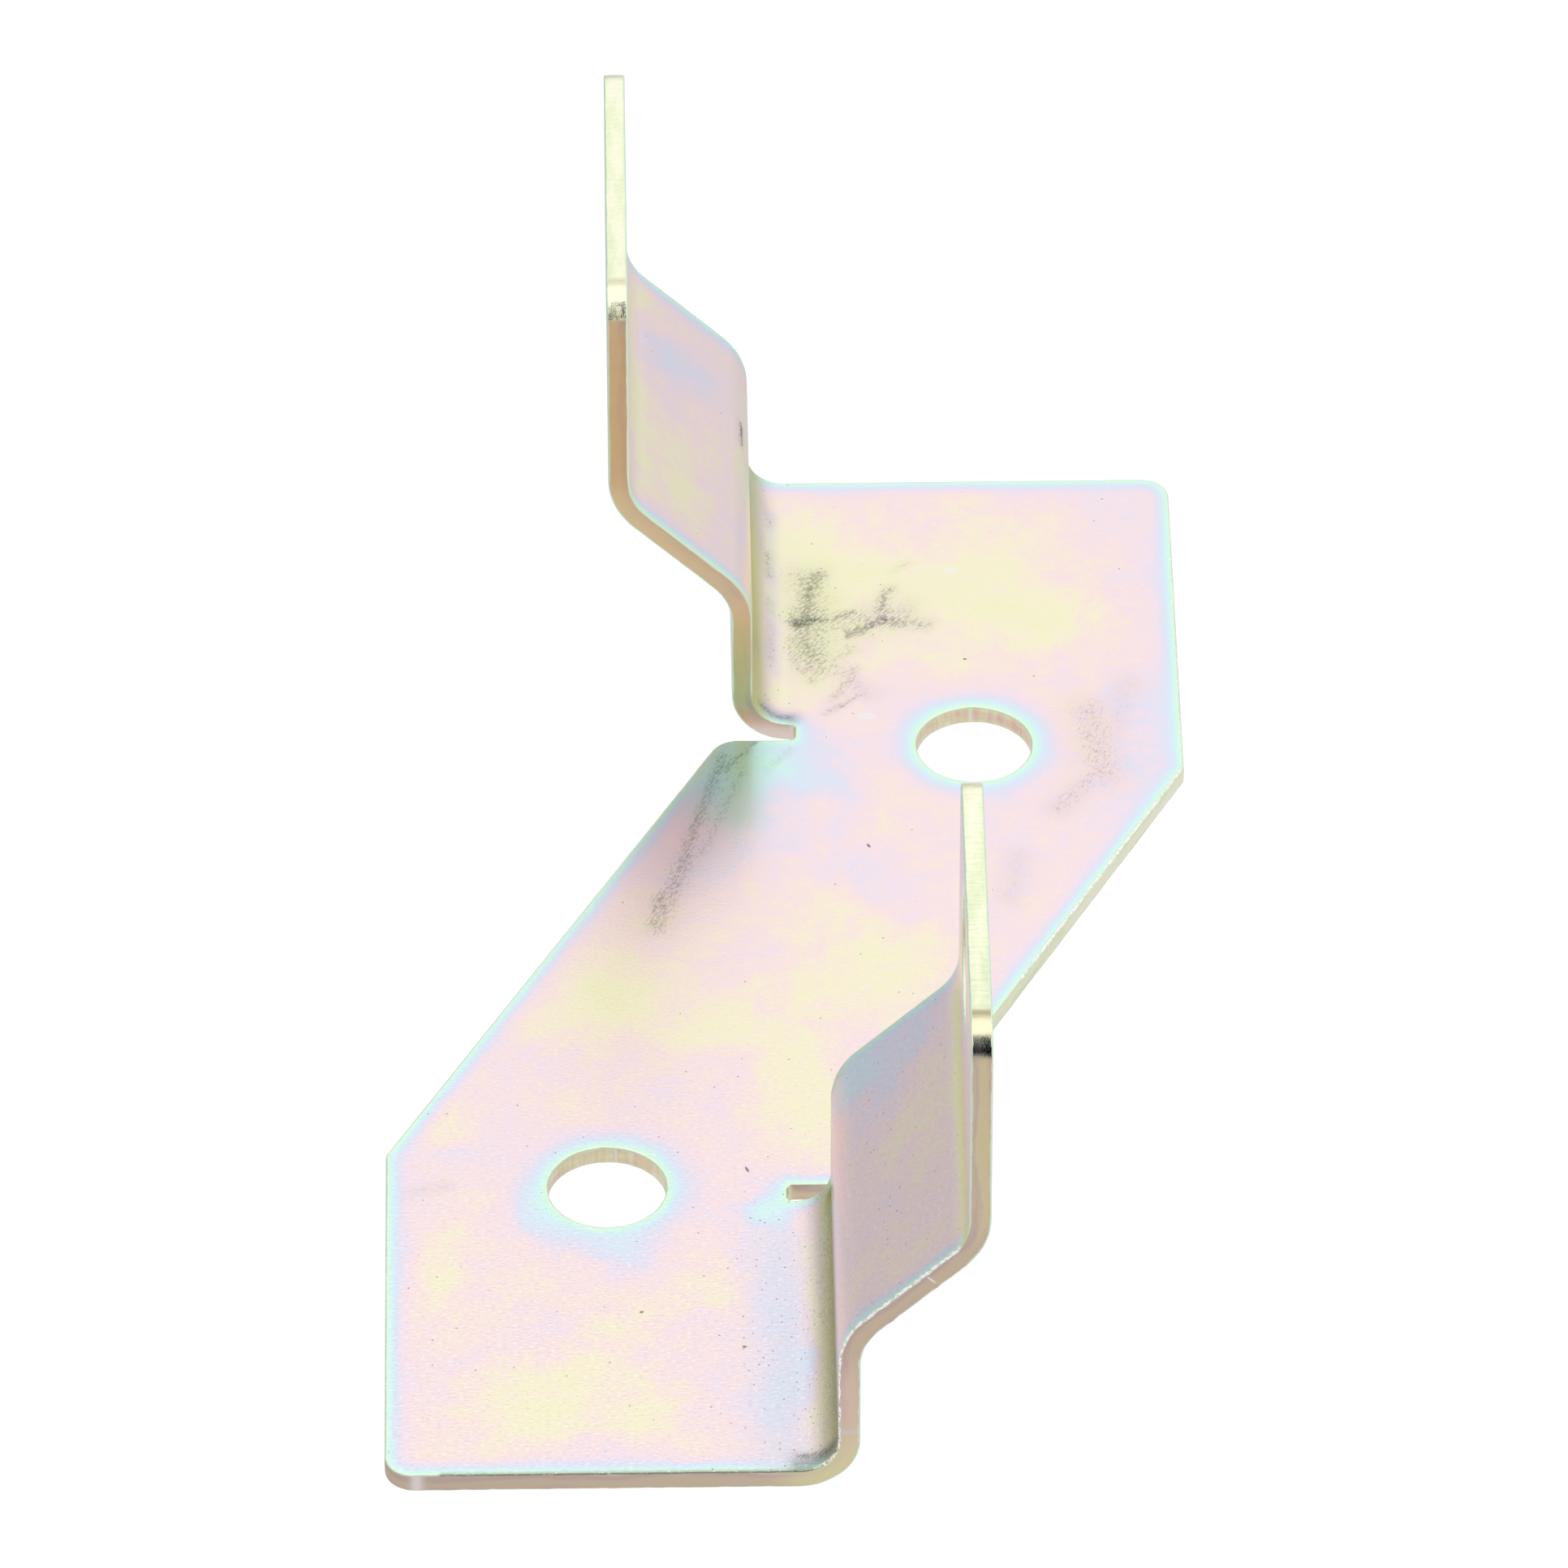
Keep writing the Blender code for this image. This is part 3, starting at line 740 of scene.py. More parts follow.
def edge_softness(blank, loop, random):
    """Radius of the softened edge at each point of a loop, uneven from tumbling and ragged at a burr."""
    # Shares of the full radius: the least, what tumbling adds, and what a burr adds or takes
    least, tumbled, torn = 0.70, 0.70, 0.50
    count = len(loop)
    rough = 0.6 * smooth_noise(count, 2, random) + 0.4 * smooth_noise(count, 7, random)
    ragged = stroke_strength(loop, BURRS_AND_GLINTS) * (random.random(count) - 0.5)
    return blank.edge_round * (least + tumbled * rough + torn * ragged)


def face_points(blank, grid, random):
    """Points over the open sheet: rings that follow each cut edge, then an even grid inside them."""
    kept = []
    for inset in EDGE_RINGS:
        for loop in blank.loops:
            ring = loop + inset * into_sheet(loop)
            clear = edge_distance(ring, blank.loops) > inset * RING_SHARE
            kept.append(ring[inside(ring, blank.loops) & clear])
    low, high = blank.outline.min(0), blank.outline.max(0)
    xs = np.arange(low[0], high[0], grid)
    ys = np.arange(low[1], high[1], grid)
    field = np.array(np.meshgrid(xs, ys)).reshape(2, -1).T
    field += (random.random(field.shape) - 0.5) * grid * GRID_JITTER
    field = field[inside(field, blank.loops)]
    kept.append(field[edge_distance(field, blank.loops) > EDGE_RINGS[-1] + RING_CLEARANCE])
    return np.vstack(kept)


def fill_face(blank, rings, grid, random):
    """Points and triangles of one face, and where the points of its border rings are among them."""
    border = np.vstack(rings)
    points = np.vstack((border, face_points(blank, grid, random)))
    edges, start = [], 0
    for ring in rings:
        count = len(ring)
        edges += [(start + k, start + (k + 1) % count) for k in range(count)]
        start += count
    made = delaunay_2d_cdt([Vector(p) for p in points], edges, [], 0, 1e-6)
    places = np.array([tuple(p) for p in made[0]])
    triangles = np.array(made[2])
    place_of = {given: place for place, ids in enumerate(made[3]) for given in ids}
    border_at = np.array([place_of[k] for k in range(len(border))])
    if len(set(border_at)) < len(border):
        raise RuntimeError("two points of the blank's edge fell together")
    on_border = np.isin(triangles, border_at).all(axis=1)
    keep = np.ones(len(triangles), bool)
    keep[on_border] = inside(places[triangles[on_border]].mean(1), rings)
    return places, triangles[keep], border_at


def wall_profile(tilt):
    """Levels from the inner face round the cut wall to the outer face.

    Each is the share of the softening and of the bulge that it stands back by, its height as a share of
    the thickness and in softenings, and how far it has turned from facing up.
    """
    levels = []
    round_turn = math.pi / 2 - tilt
    for k in range(ROUND_STEPS + 1):
        turn = math.pi / 2 * k / ROUND_STEPS
        levels.append((1 - math.sin(turn), 1.0, 1.0, math.cos(turn) - 1, round_turn * k / ROUND_STEPS))
    for k in range(1, WALL_STEPS):
        rise = 1 - 2 * k / WALL_STEPS
        levels.append((0.0, rise * rise, 1 - k / WALL_STEPS, 0.0, math.pi / 2 - tilt * rise))
    for share, bulge, height, soften, turn in levels[ROUND_STEPS::-1]:
        levels.append((share, bulge, 1 - height, -soften, math.pi - turn))
    return levels


def cut_mesh(blank, random):
    """The blank's flat places, normals, faces and whether each face is a cut wall."""
    softness = [edge_softness(blank, loop, random) for loop in blank.loops]
    inward = [into_sheet(loop) for loop in blank.loops]
    rings = [loop + (soft + blank.bulge)[:, None] * way
             for loop, soft, way in zip(blank.loops, softness, inward)]
    places, normals, faces, walls = [], [], [], []
    inner, inner_triangles, inner_border = fill_face(blank, rings, INNER_GRID, random)
    outer, outer_triangles, outer_border = fill_face(blank, rings, OUTER_GRID, random)
    height = np.full((len(inner), 1), blank.thickness)
    places.append(np.hstack((inner, height)))
    normals.append(np.tile((0.0, 0.0, 1.0), (len(inner), 1)))
    faces += [tuple(t) for t in inner_triangles]
    walls += [0] * len(inner_triangles)
    first_outer = len(inner)
    places.append(np.hstack((outer, np.zeros((len(outer), 1)))))
    normals.append(np.tile((0.0, 0.0, -1.0), (len(outer), 1)))
    faces += [tuple(int(v) + first_outer for v in t[::-1]) for t in outer_triangles]
    walls += [0] * len(outer_triangles)
    levels = wall_profile(math.atan(4 * blank.bulge / blank.thickness))
    total, start = first_outer + len(outer), 0
    for loop, soft, way in zip(blank.loops, softness, inward):
        count = len(loop)
        rows = [inner_border[start:start + count]]
        for share, bulge, height_share, soften, turn in levels[1:-1]:
            place = loop + (soft * share + blank.bulge * bulge)[:, None] * way
            height = blank.thickness * height_share + soft * soften
            places.append(np.column_stack((place, height)))
            normals.append(np.column_stack((-way * math.sin(turn), np.full(count, math.cos(turn)))))
            rows.append(np.arange(total, total + count))
            total += count
        rows.append(first_outer + outer_border[start:start + count])
        for level, (upper, lower) in enumerate(zip(rows, rows[1:])):
            on_wall = ROUND_STEPS <= level < ROUND_STEPS + WALL_STEPS
            for k in range(count):
                ahead = (k + 1) % count
                faces.append((int(upper[k]), int(lower[k]), int(lower[ahead]), int(upper[ahead])))
                walls.append(int(on_wall))
        start += count
    return np.vstack(places), np.vstack(normals), faces, np.array(walls)


def soft_areas(places, areas):
    """Sum of soft areas at each place; each fades evenly from its middle."""
    total = np.zeros(len(places))
    for _, x, y, wide, high, turn, change in areas:
        cos, sin = math.cos(math.radians(turn)), math.sin(math.radians(turn))
        dx, dy = places[:, 0] - x, places[:, 1] - y
        across = (dx * cos + dy * sin) / wide
        up = (dy * cos - dx * sin) / high
        total += change * np.exp(-((across ** 2 + up ** 2) ** 1.3))
    return total


def stroke_strength(places, strokes):
    """Strongest stroke at each place; each is a soft line."""
    strongest = np.zeros(len(places))
    for _, ax, ay, bx, by, width, strength in strokes:
        distance = segment_distance(places[:, :2], np.array((ax, ay)), np.array((bx, by)))
        strongest = np.maximum(strongest, strength * np.exp(-((distance / width) ** 2)))
    return strongest


def painted(places, strokes):
    """Local colour at each place, with how much of it there is as its alpha."""
    colour, cover = np.zeros((len(places), 3)), np.zeros((len(places), 1))
    for *stroke, code in strokes:
        share = stroke_strength(places, [stroke])[:, None]
        colour = colour * (1 - share) + share * np.array(linear(code)[:3])
        cover = cover * (1 - share) + share
    return np.hstack((colour / np.maximum(cover, 1e-6), cover))


def store(mesh, name, kind, values):
    """Keep one value for each point of the mesh."""
    attribute = mesh.attributes.new(name, kind, "POINT")
    field = {"FLOAT": "value", "FLOAT_VECTOR": "vector", "FLOAT_COLOR": "color"}[kind]
    attribute.data.foreach_set(field, np.ascontiguousarray(values, np.float32).ravel())


def add(tree, kind, inputs=(), output=0, **settings):
    """Add a node with its settings and links, and give back one of its outputs.

    The inputs are numbers, colours or other nodes' outputs, in order or by name.
    """
    node = tree.nodes.new("ShaderNode" + kind)
    for key, value in settings.items():
        setattr(node, key, value)
    for key, value in inputs.items() if isinstance(inputs, dict) else enumerate(inputs):
        if isinstance(value, bpy.types.NodeSocket):
            tree.links.new(value, node.inputs[key])
        else:
            node.inputs[key].default_value = value
    return node.outputs[output] if len(node.outputs) else None


def empty_material(name):
    """A material with no nodes yet, and its tree."""
    material = bpy.data.materials.new(name)
    material.use_nodes = True
    material.node_tree.nodes.clear()
    return material, material.node_tree


def set_stops(ramp, stops):
    """Give a colour ramp its stops, as (place, linear colour)."""
    elements = ramp.node.color_ramp.elements
    while len(elements) > 1:
        elements.remove(elements[-1])
    elements[0].position, elements[0].color = stops[0]
    for place, colour in stops[1:]:
        elements.new(place).color = colour


def spots(tree, sheet, marks):
    """Mask of small marks, each a long round spot: 1 on a mark and 0 off it."""
    mask = 0.0
    for _, x, y, half_length, half_width, turn, *height in marks:
        z, half_height = height or (0.0, 1e4)
        place = add(tree, "Mapping", {"Vector": sheet, "Location": (x, y, z),
                                      "Rotation": (0.0, 0.0, math.radians(turn)),
                                      "Scale": (half_length, half_width, half_height)},
                    vector_type="TEXTURE")
        size = add(tree, "VectorMath", (place,), output="Value", operation="LENGTH")
        near = add(tree, "MapRange", {"Value": size, "From Min": MARK_END_SHARE,
                                      "From Max": MARK_WHOLE_SHARE})
        mask = add(tree, "Math", (near, mask), operation="MAXIMUM")
    return mask


def film_colour(tree, sheet, value, finish):
    """Colour of the passivate film, from how thick it is at each spot."""
    clouds = add(tree, "TexNoise", {"Vector": sheet, "Scale": 1 / CLOUD_SIZE, "Detail": 6.0,
                                    "Roughness": 0.6})
    wisps = add(tree, "TexNoise", {"Vector": sheet, "Scale": 1 / WISP_SIZE, "Detail": 5.0,
                                   "Roughness": 0.68, "Distortion": 0.5})
    thick = add(tree, "Math", (clouds, CLOUD_SHARE, value["film"]), operation="MULTIPLY_ADD")
    thick = add(tree, "Math", (wisps, WISP_SHARE, thick), operation="MULTIPLY_ADD")
    thick = add(tree, "Math", (thick, (CLOUD_SHARE + WISP_SHARE) / 2), operation="SUBTRACT")

    # It runs thin towards each edge, over a reach that wanders between 0.35 and 1.65 of its value
    wander = add(tree, "Math", (wisps, 1.3, 0.35), operation="MULTIPLY_ADD")
    for name, reach, lateness in FILM_FADES:
        away = add(tree, "Math", (value[name], reach), operation="DIVIDE")
        away = add(tree, "Math", (away, wander), operation="DIVIDE")
        away = add(tree, "Math", (away, lateness), operation="POWER")
        lost = add(tree, "Math", (math.exp(-1), away), operation="POWER")
        left = add(tree, "Math", (1.0, lost), operation="SUBTRACT")
        thick = add(tree, "Math", (thick, left), operation="MULTIPLY")
    share = add(tree, "Math", (thick, THICKEST_FILM), operation="DIVIDE")
    film = add(tree, "ValToRGB", (share,), output="Color")
    stops = [(place / THICKEST_FILM, linear(code)) for place, code in FILM_ORDER]
    set_stops(film, [(0.0, tuple(finish.thin_film))] + stops + [(1.0, tuple(finish.thick_film))])
    return film


def rub_marks(tree, sheet, value, finish):
    """How dark the rubs are: scribbles of short strokes about 0.25 mm wide, in a light haze."""
    specks = add(tree, "TexNoise", {"Vector": sheet, "Scale": 1 / RUB_SPECK_SIZE, "Detail": 3.0,
                                    "Roughness": 0.8})
    marks = 0.0
    for name, turn in RUB_WAYS:
        along = add(tree, "Mapping", {"Vector": sheet, "Rotation": (0.0, 0.0, math.radians(turn)),
                                      "Scale": (*STROKE_SIZE, 1.0)}, vector_type="TEXTURE")
        strokes = add(tree, "TexNoise", {"Vector": along, "Scale": 1.0, "Detail": 5.0, "Roughness": 0.74})
        strokes = add(tree, "Math", (strokes, 1 - RUB_SPECK_SHARE), operation="MULTIPLY")
        strokes = add(tree, "Math", (specks, RUB_SPECK_SHARE, strokes), operation="MULTIPLY_ADD")
        strength = add(tree, "Math", (value[name], finish.wear), operation="MULTIPLY")
        over = add(tree, "Math", (strength, RUB_LOWERING, -RUB_LEVEL), operation="MULTIPLY_ADD")
        over = add(tree, "Math", (strokes, over), operation="ADD")
        over = add(tree, "Math", (over, RUB_SHARPNESS), operation="MULTIPLY", use_clamp=True)
        haze = add(tree, "Math", (strength, RUB_HAZE), operation="MULTIPLY")
        dark = add(tree, "Math", (over, strength), operation="MULTIPLY")
        dark = add(tree, "Math", (dark, RUB_DARKNESS, haze), operation="MULTIPLY_ADD")
        marks = add(tree, "Math", (marks, dark), operation="MAXIMUM")
    return marks


def pits_and_glint_specks(tree, sheet, value):
    """Masks of dark pits and of white specks painted as glints, about 0.17 mm wide, thickest in the front
    bend.
    """
    cells = add(tree, "TexVoronoi", {"Vector": sheet, "Scale": 1 / PIT_SPACING, "Randomness": 1.0},
                output="Color")
    distance = cells.node.outputs["Distance"]
    roll = add(tree, "SeparateColor", (cells,))
    chance = add(tree, "Math", (value["pitted"], PITTED_CHANCE, OPEN_CHANCE), operation="MULTIPLY_ADD")
    chance = add(tree, "Math", (value["coarse"], FRONT_CHANCE, chance), operation="MULTIPLY_ADD")
    masks = []
    for drawn, radius in ((roll, PIT_RADIUS_SHARE), (roll.node.outputs["Green"], GLINT_SPECK_RADIUS_SHARE)):
        chosen = add(tree, "Math", (drawn, chance), operation="LESS_THAN")
        within = add(tree, "Math", (distance, radius), operation="LESS_THAN")
        masks.append(add(tree, "Math", (chosen, within), operation="MULTIPLY"))
    return masks


def ripple(tree, peel, value):
    """Masks of the painted highlight on the peel's crests and the painted shade in its hollows, clearest at
    the front.
    """
    clear = add(tree, "Math", (value["coarse"], FRONT_RIPPLE, REAR_RIPPLE), operation="MULTIPLY_ADD")
    masks = []
    for slope, offset in (CREST_HIGHLIGHT_LINE, HOLLOW_SHADE_LINE):
        mask = add(tree, "Math", (peel, slope, offset), operation="MULTIPLY_ADD", use_clamp=True)
        masks.append(add(tree, "Math", (mask, clear), operation="MULTIPLY"))
    return masks


def burr_and_glint_line(tree, sheet, value):
    """Mask of the broken line of beads where a burr was tumbled flat on the edge, painted white as a
    highlight.
    """
    beads = add(tree, "TexNoise", {"Vector": sheet, "Scale": 1 / BEAD_SIZE, "Detail": 2.0,
                                   "Roughness": 0.6})
    over = add(tree, "Math", (value["burr"], BURR_LOWERING, -BURR_LEVEL), operation="MULTIPLY_ADD")
    over = add(tree, "Math", (beads, over), operation="ADD")
    over = add(tree, "Math", (over, BURR_SHARPNESS), operation="MULTIPLY", use_clamp=True)
    line = add(tree, "MapRange", {"Value": value["edge_mm"], "From Min": BURR_END,
                                  "From Max": BURR_WHOLE})
    return add(tree, "Math", (over, line), operation="MULTIPLY")


def zinc_plate(finish):
    """Zinc plate, yellow passivated, on rolled sheet.

    The passivate is a clear film under a micrometre thick, so it shows pale interference colours that
    follow its thickness: thin and green at the cut edges, then blue, lilac, pink, cream and yellow.
    Under it the plating has a fine orange peel that gives a satin gloss.
    """
    material, tree = empty_material("yellow_passivated_zinc")
    sheet = add(tree, "Attribute", output="Vector", attribute_name="sheet_mm")
    value = {name: add(tree, "Attribute", output="Fac", attribute_name=name)
             for name in ("film", "edge_mm", "hole_mm", "flat_rub", "slant_rub", "bend", "pitted", "coarse",
                          "burr")}
    colour = film_colour(tree, sheet, value, finish)
    local = add(tree, "Attribute", output="Color", attribute_name="sheet_tint")
    marks = rub_marks(tree, sheet, value, finish)
    pits, specks = pits_and_glint_specks(tree, sheet, value)
    burr = burr_and_glint_line(tree, sheet, value)
    dashes = add(tree, "Mapping", {"Vector": sheet, "Scale": (*PEEL_SIZE, 1.0)}, vector_type="TEXTURE")
    peel = add(tree, "TexNoise", {"Vector": dashes, "Scale": 1.0, "Detail": 2.0, "Roughness": 0.5})
    crest_highlights, hollow_shade = ripple(tree, peel, value)

    # What lies over the film: mask, strength and colour. The plating goes olive where the bend squeezes it.
    layers = (
        (value["bend"], 0.88, tuple(finish.squeezed_film)),
        (local.node.outputs["Alpha"], 1.0, local),
        # Painted highlight and shade: the peel's crests are painted white and its hollows grey
        (crest_highlights, 0.42, linear("FFFFFF")),
        (hollow_shade, 0.12, linear("8C8478")),
        (marks, 1.0, tuple(finish.rub)),
        (pits, 0.62, linear("5E5C4E")),
        # Painted highlight: white specks stand for the glints of the peel
        (specks, 0.60, linear("FFFFFF")),
        (spots(tree, sheet, DARK_MARKS), 0.75, linear("4A4438")),
        (spots(tree, sheet, PALE_MARKS), 0.45, linear("EFF4F2")),
        # Painted highlight: the burr's beads are painted white
        (burr, 0.95, linear("FFFFFF")),
    )
    for mask, strength, tint in layers:
        factor = add(tree, "Math", (mask, strength), operation="MULTIPLY")
        colour = add(tree, "Mix", {"Factor": factor, "A": colour, "B": tint}, output="Result",
                     data_type="RGBA")

    # The peel stands up, with the pits sunk in it and the burr on top
    height = add(tree, "Math", (value["coarse"], FRONT_PEEL, REAR_PEEL), operation="MULTIPLY_ADD")
    height = add(tree, "Math", (peel, height), operation="MULTIPLY")
    height = add(tree, "Math", (pits, -PIT_DEPTH, height), operation="MULTIPLY_ADD")
    height = add(tree, "Math", (burr, BURR_HEIGHT, height), operation="MULTIPLY_ADD")
    normal = add(tree, "Bump", {"Strength": 1.0, "Distance": finish.orange_peel, "Height": height})
    roughness = add(tree, "Math", (marks, 0.14, 0.29), operation="MULTIPLY_ADD")
    # The burr's painted white highlight has almost no metal, so that it stays white
    metallic = add(tree, "Math", (burr, -0.85, 1.0), operation="MULTIPLY_ADD")
    shader = add(tree, "BsdfPrincipled", {"Base Color": colour, "Metallic": metallic,
                                          "Roughness": roughness, "Normal": normal})
    add(tree, "OutputMaterial", {"Surface": shader})
    return material


def cut_edge(finish):
    """Laser-cut steel wall under the same plating.

    The beam leaves streaks of pink, gold, tan and mauve along a wall between its borders, and fine upright
    striations in the holes and on the front tab's top. The film is thin on the tabs' tops and on the
    plate's right side, so they are a pale yellow-green.
    """
    material, tree = empty_material("laser_cut_edge")
    sheet = add(tree, "Attribute", output="Vector", attribute_name="sheet_mm")
    top, side, hole, front = (add(tree, "Attribute", output="Fac", attribute_name=name)
                              for name in ("tab_top", "side_wall", "hole_wall", "coarse"))

    # Striations run straight through the sheet, tints along the wall in streaks, and the grain each way:
    # size along the wall in millimetres, how much finer through the sheet, detail and roughness
    patterns = []
    for size, finer, detail, rough in (
            (0.4, 0.06, 3.0, 0.65), (7.0, 5.0, 5.0, 0.60), (0.5, 1.0, 3.0, 0.60)):
        place = add(tree, "Mapping", {"Vector": sheet, "Scale": (1.0, 1.0, finer)})
        patterns.append(add(tree, "TexNoise", {"Vector": place, "Scale": 1 / size, "Detail": detail,
                                               "Roughness": rough}))
    lines, tint, grain = patterns

    # The border is 1 at the wall's two edges and falls away fast towards its middle
    depth = add(tree, "SeparateXYZ", (sheet,), output="Z")
    border = add(tree, "Math", (depth, 1.0), operation="SUBTRACT")
    border = add(tree, "Math", (border,), operation="ABSOLUTE")
    border = add(tree, "Math", (border, 2.5), operation="POWER")

    # Striations are clear in the holes and on the front tab's top, and faint elsewhere
    striated = add(tree, "Math", (top, front), operation="MULTIPLY")
    striated = add(tree, "Math", (striated, hole), operation="MAXIMUM")
    weight = add(tree, "Math", (striated, 0.62, 0.10), operation="MULTIPLY_ADD")
    streak = add(tree, "Math", (lines, 0.5), operation="SUBTRACT")
    streak = add(tree, "Math", (streak, weight), operation="MULTIPLY")

    # What picks the colour of a plain wall, and of a hole or a top: a start, and each pattern's weight
    picks = []
    for pick, weights in (
            (-0.30, ((tint, 0.90), (depth, 0.34), (streak, 0.60))),
            (-0.13, ((tint, 1.15), (border, 0.16), (grain, 0.16), (streak, 1.0), (front, 0.12)))):
        for pattern, weight in weights:
            pick = add(tree, "Math", (pattern, weight, pick), operation="MULTIPLY_ADD")
        picks.append(pick)
    across, bright = picks

    # Plain walls, from the outer face in: grey border, pink, gold, tan, mauve and pale border
    colour = add(tree, "ValToRGB", (across,), output="Color")
    set_stops(colour, [
        (0.02, linear("C6B4AC")),
        (0.16, linear("DFC2B9")),
        (0.34, linear("E6D4AA")),
        (0.52, tuple(finish.cut_wall)),
        (0.68, linear("D4BCB1")),
        (0.82, linear("DEC6BD")),
        (0.92, linear("F2E6D8")),
    ])
    thin = add(tree, "Math", (top, side), operation="MAXIMUM")
    layers = []
    for mask, stops in ((hole, HOLE_COLOURS), (thin, TOP_COLOURS)):
        over = add(tree, "ValToRGB", (bright,), output="Color")
        set_stops(over, [(place, linear(code)) for place, code in stops])
        layers.append((mask, over))
    local = add(tree, "Attribute", output="Color", attribute_name="wall_tint")
    cover = add(tree, "Math", (streak, 0.8, 1.0), operation="MULTIPLY_ADD")
    cover = add(tree, "Math", (cover, local.node.outputs["Alpha"]), operation="MULTIPLY")
    layers += [(cover, local), (spots(tree, sheet, LEAD_INS), linear("F4F4EC"))]
    for mask, over in layers:
        colour = add(tree, "Mix", {"Factor": mask, "A": colour, "B": over}, output="Result",
                     data_type="RGBA")

    # The tabs' tops and corners are smoother than the rest
    roughness = add(tree, "Math", (top, -0.26, 0.33), operation="MULTIPLY_ADD")
    height = add(tree, "Math", (streak, grain), operation="ADD")
    normal = add(tree, "Bump", {"Strength": 1.0, "Distance": WALL_RELIEF, "Height": height})
    shader = add(tree, "BsdfPrincipled", {"Base Color": colour, "Metallic": 1.0, "Roughness": roughness,
                                          "Normal": normal})
    add(tree, "OutputMaterial", {"Surface": shader})
    return material


def keep_values(mesh, blank, places, normals, random):
    """Keep the flat place, edge distances, film and wear of each point, for the two finishes."""
    flat = places[:, :2]
    on_inner = places[:, 2] > blank.thickness / 2
    drifted = flat.copy()
    for spacing, reach in AREA_DRIFTS:
        drifted += reach * np.column_stack([cloudy(flat, spacing, random) for _ in range(2)])
    uneven = flat + RUB_DRIFT_SHARE * (drifted - flat)
    hole_mm = edge_distance(flat, blank.plate_holes)
    tab_hole_mm = edge_distance(flat, blank.tab_holes)
    near_hole = np.minimum(hole_mm, tab_hole_mm)
    far = np.abs(places[:, 0])
    outer_side = (blank.strip_side(places) == 0) & (near_hole > HOLE_REACH)
    values = {
        "edge_mm": np.minimum(edge_distance(flat, [blank.outline]), tab_hole_mm),
        "hole_mm": hole_mm,
        "coarse": np.clip((COARSE_START - places[:, 1]) / COARSE_LENGTH, 0.0, 1.0),
        "tab_top": np.clip((far - far.max() + TOP_REACH) / TOP_FADE, 0.0, 1.0),
        "side_wall": np.clip(normals[:, 0] * SIDE_GAIN, 0.0, 1.0) * outer_side,
        "hole_wall": (near_hole < HOLE_REACH).astype(float),
    }
    inner_face_values = {
        "film": soft_areas(drifted, FILM_AREAS),
        "flat_rub": stroke_strength(uneven, FLAT_RUBS),
        "slant_rub": stroke_strength(flat, SLANT_RUBS),
        "burr": stroke_strength(flat, BURRS_AND_GLINTS),
        "bend": blank.bend_amount(places),
        "pitted": stroke_strength(flat, PITTED),
    }
    for name, kept in inner_face_values.items():
        values[name] = np.where(on_inner, kept, 0.0)
    values["film"] += OPEN_FILM
    store(mesh, "sheet_mm", "FLOAT_VECTOR", places)
    sheet_tint = painted(flat, SHEET_TINTS)
    sheet_tint[:, 3] *= on_inner
    store(mesh, "sheet_tint", "FLOAT_COLOR", sheet_tint)
    store(mesh, "wall_tint", "FLOAT_COLOR", painted(flat, WALL_TINTS))
    for name, kept in values.items():
        store(mesh, name, "FLOAT", kept)


class BRACKET_OT_fold_sheet(bpy.types.Operator):
    """Cut the blank, soften its edges, fold its two strips and give it its finish"""
    bl_idname = "bracket.fold_sheet"
    bl_label = "Fold the bracket"

    def execute(self, context):
        scene = context.scene
        random = np.random.default_rng(SEED)
        blank = Blank(scene.bracket_shape)
        places, normals, faces, walls = cut_mesh(blank, random)
        new_places, new_normals = blank.folded(places, normals)

        mesh = bpy.data.meshes.new("folded_sheet")
        mesh.from_pydata((new_places * MM).tolist(), [], faces)
        mesh.materials.append(zinc_plate(scene.bracket_finish))
        mesh.materials.append(cut_edge(scene.bracket_finish))
        mesh.polygons.foreach_set("material_index", walls.astype(np.int32))
        mesh.shade_smooth()
        mesh.normals_split_custom_set_from_vertices(new_normals.tolist())

        keep_values(mesh, blank, places, normals, random)
        mesh.validate()
        mesh.update()

        sheet = bpy.data.objects.new("folded_sheet", mesh)
        scene.collection.objects.link(sheet)
        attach(sheet, "root")
        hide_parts("bracket")
        return {"FINISHED"}


def white_table(studio):
    """White table: the lens sees it burnt out to plain white, and the metal mirrors it as dimmer paper."""
    # Its radius, and where its mirrored brightness turns from the left one to the right one
    radius, left, right = 3.0, -0.08, 0.12
    for name, height, seen in (("white_table", -0.1 * MM, True), ("table_in_the_metal", -0.3 * MM, False)):
        material, tree = empty_material(name)
        across = add(tree, "SeparateXYZ", (add(tree, "TexCoord", output="Object"),), output="X")
        mirrored = add(tree, "MapRange", {"Value": across, "From Min": left, "From Max": right,
                                          "To Min": studio.left_table, "To Max": studio.right_table})
        strength = studio.table_light if seen else mirrored
        glow = add(tree, "Emission", {"Color": (1.0, 1.0, 1.0, 1.0), "Strength": strength})
        add(tree, "OutputMaterial", {"Surface": glow})
        bpy.ops.mesh.primitive_circle_add(vertices=96, radius=radius, fill_type="NGON",
                                          location=(0.0, 0.0, height))
        table = bpy.context.object
        table.name = name
        table.data.materials.append(material)
        table.visible_camera = seen
        table.visible_glossy = not seen


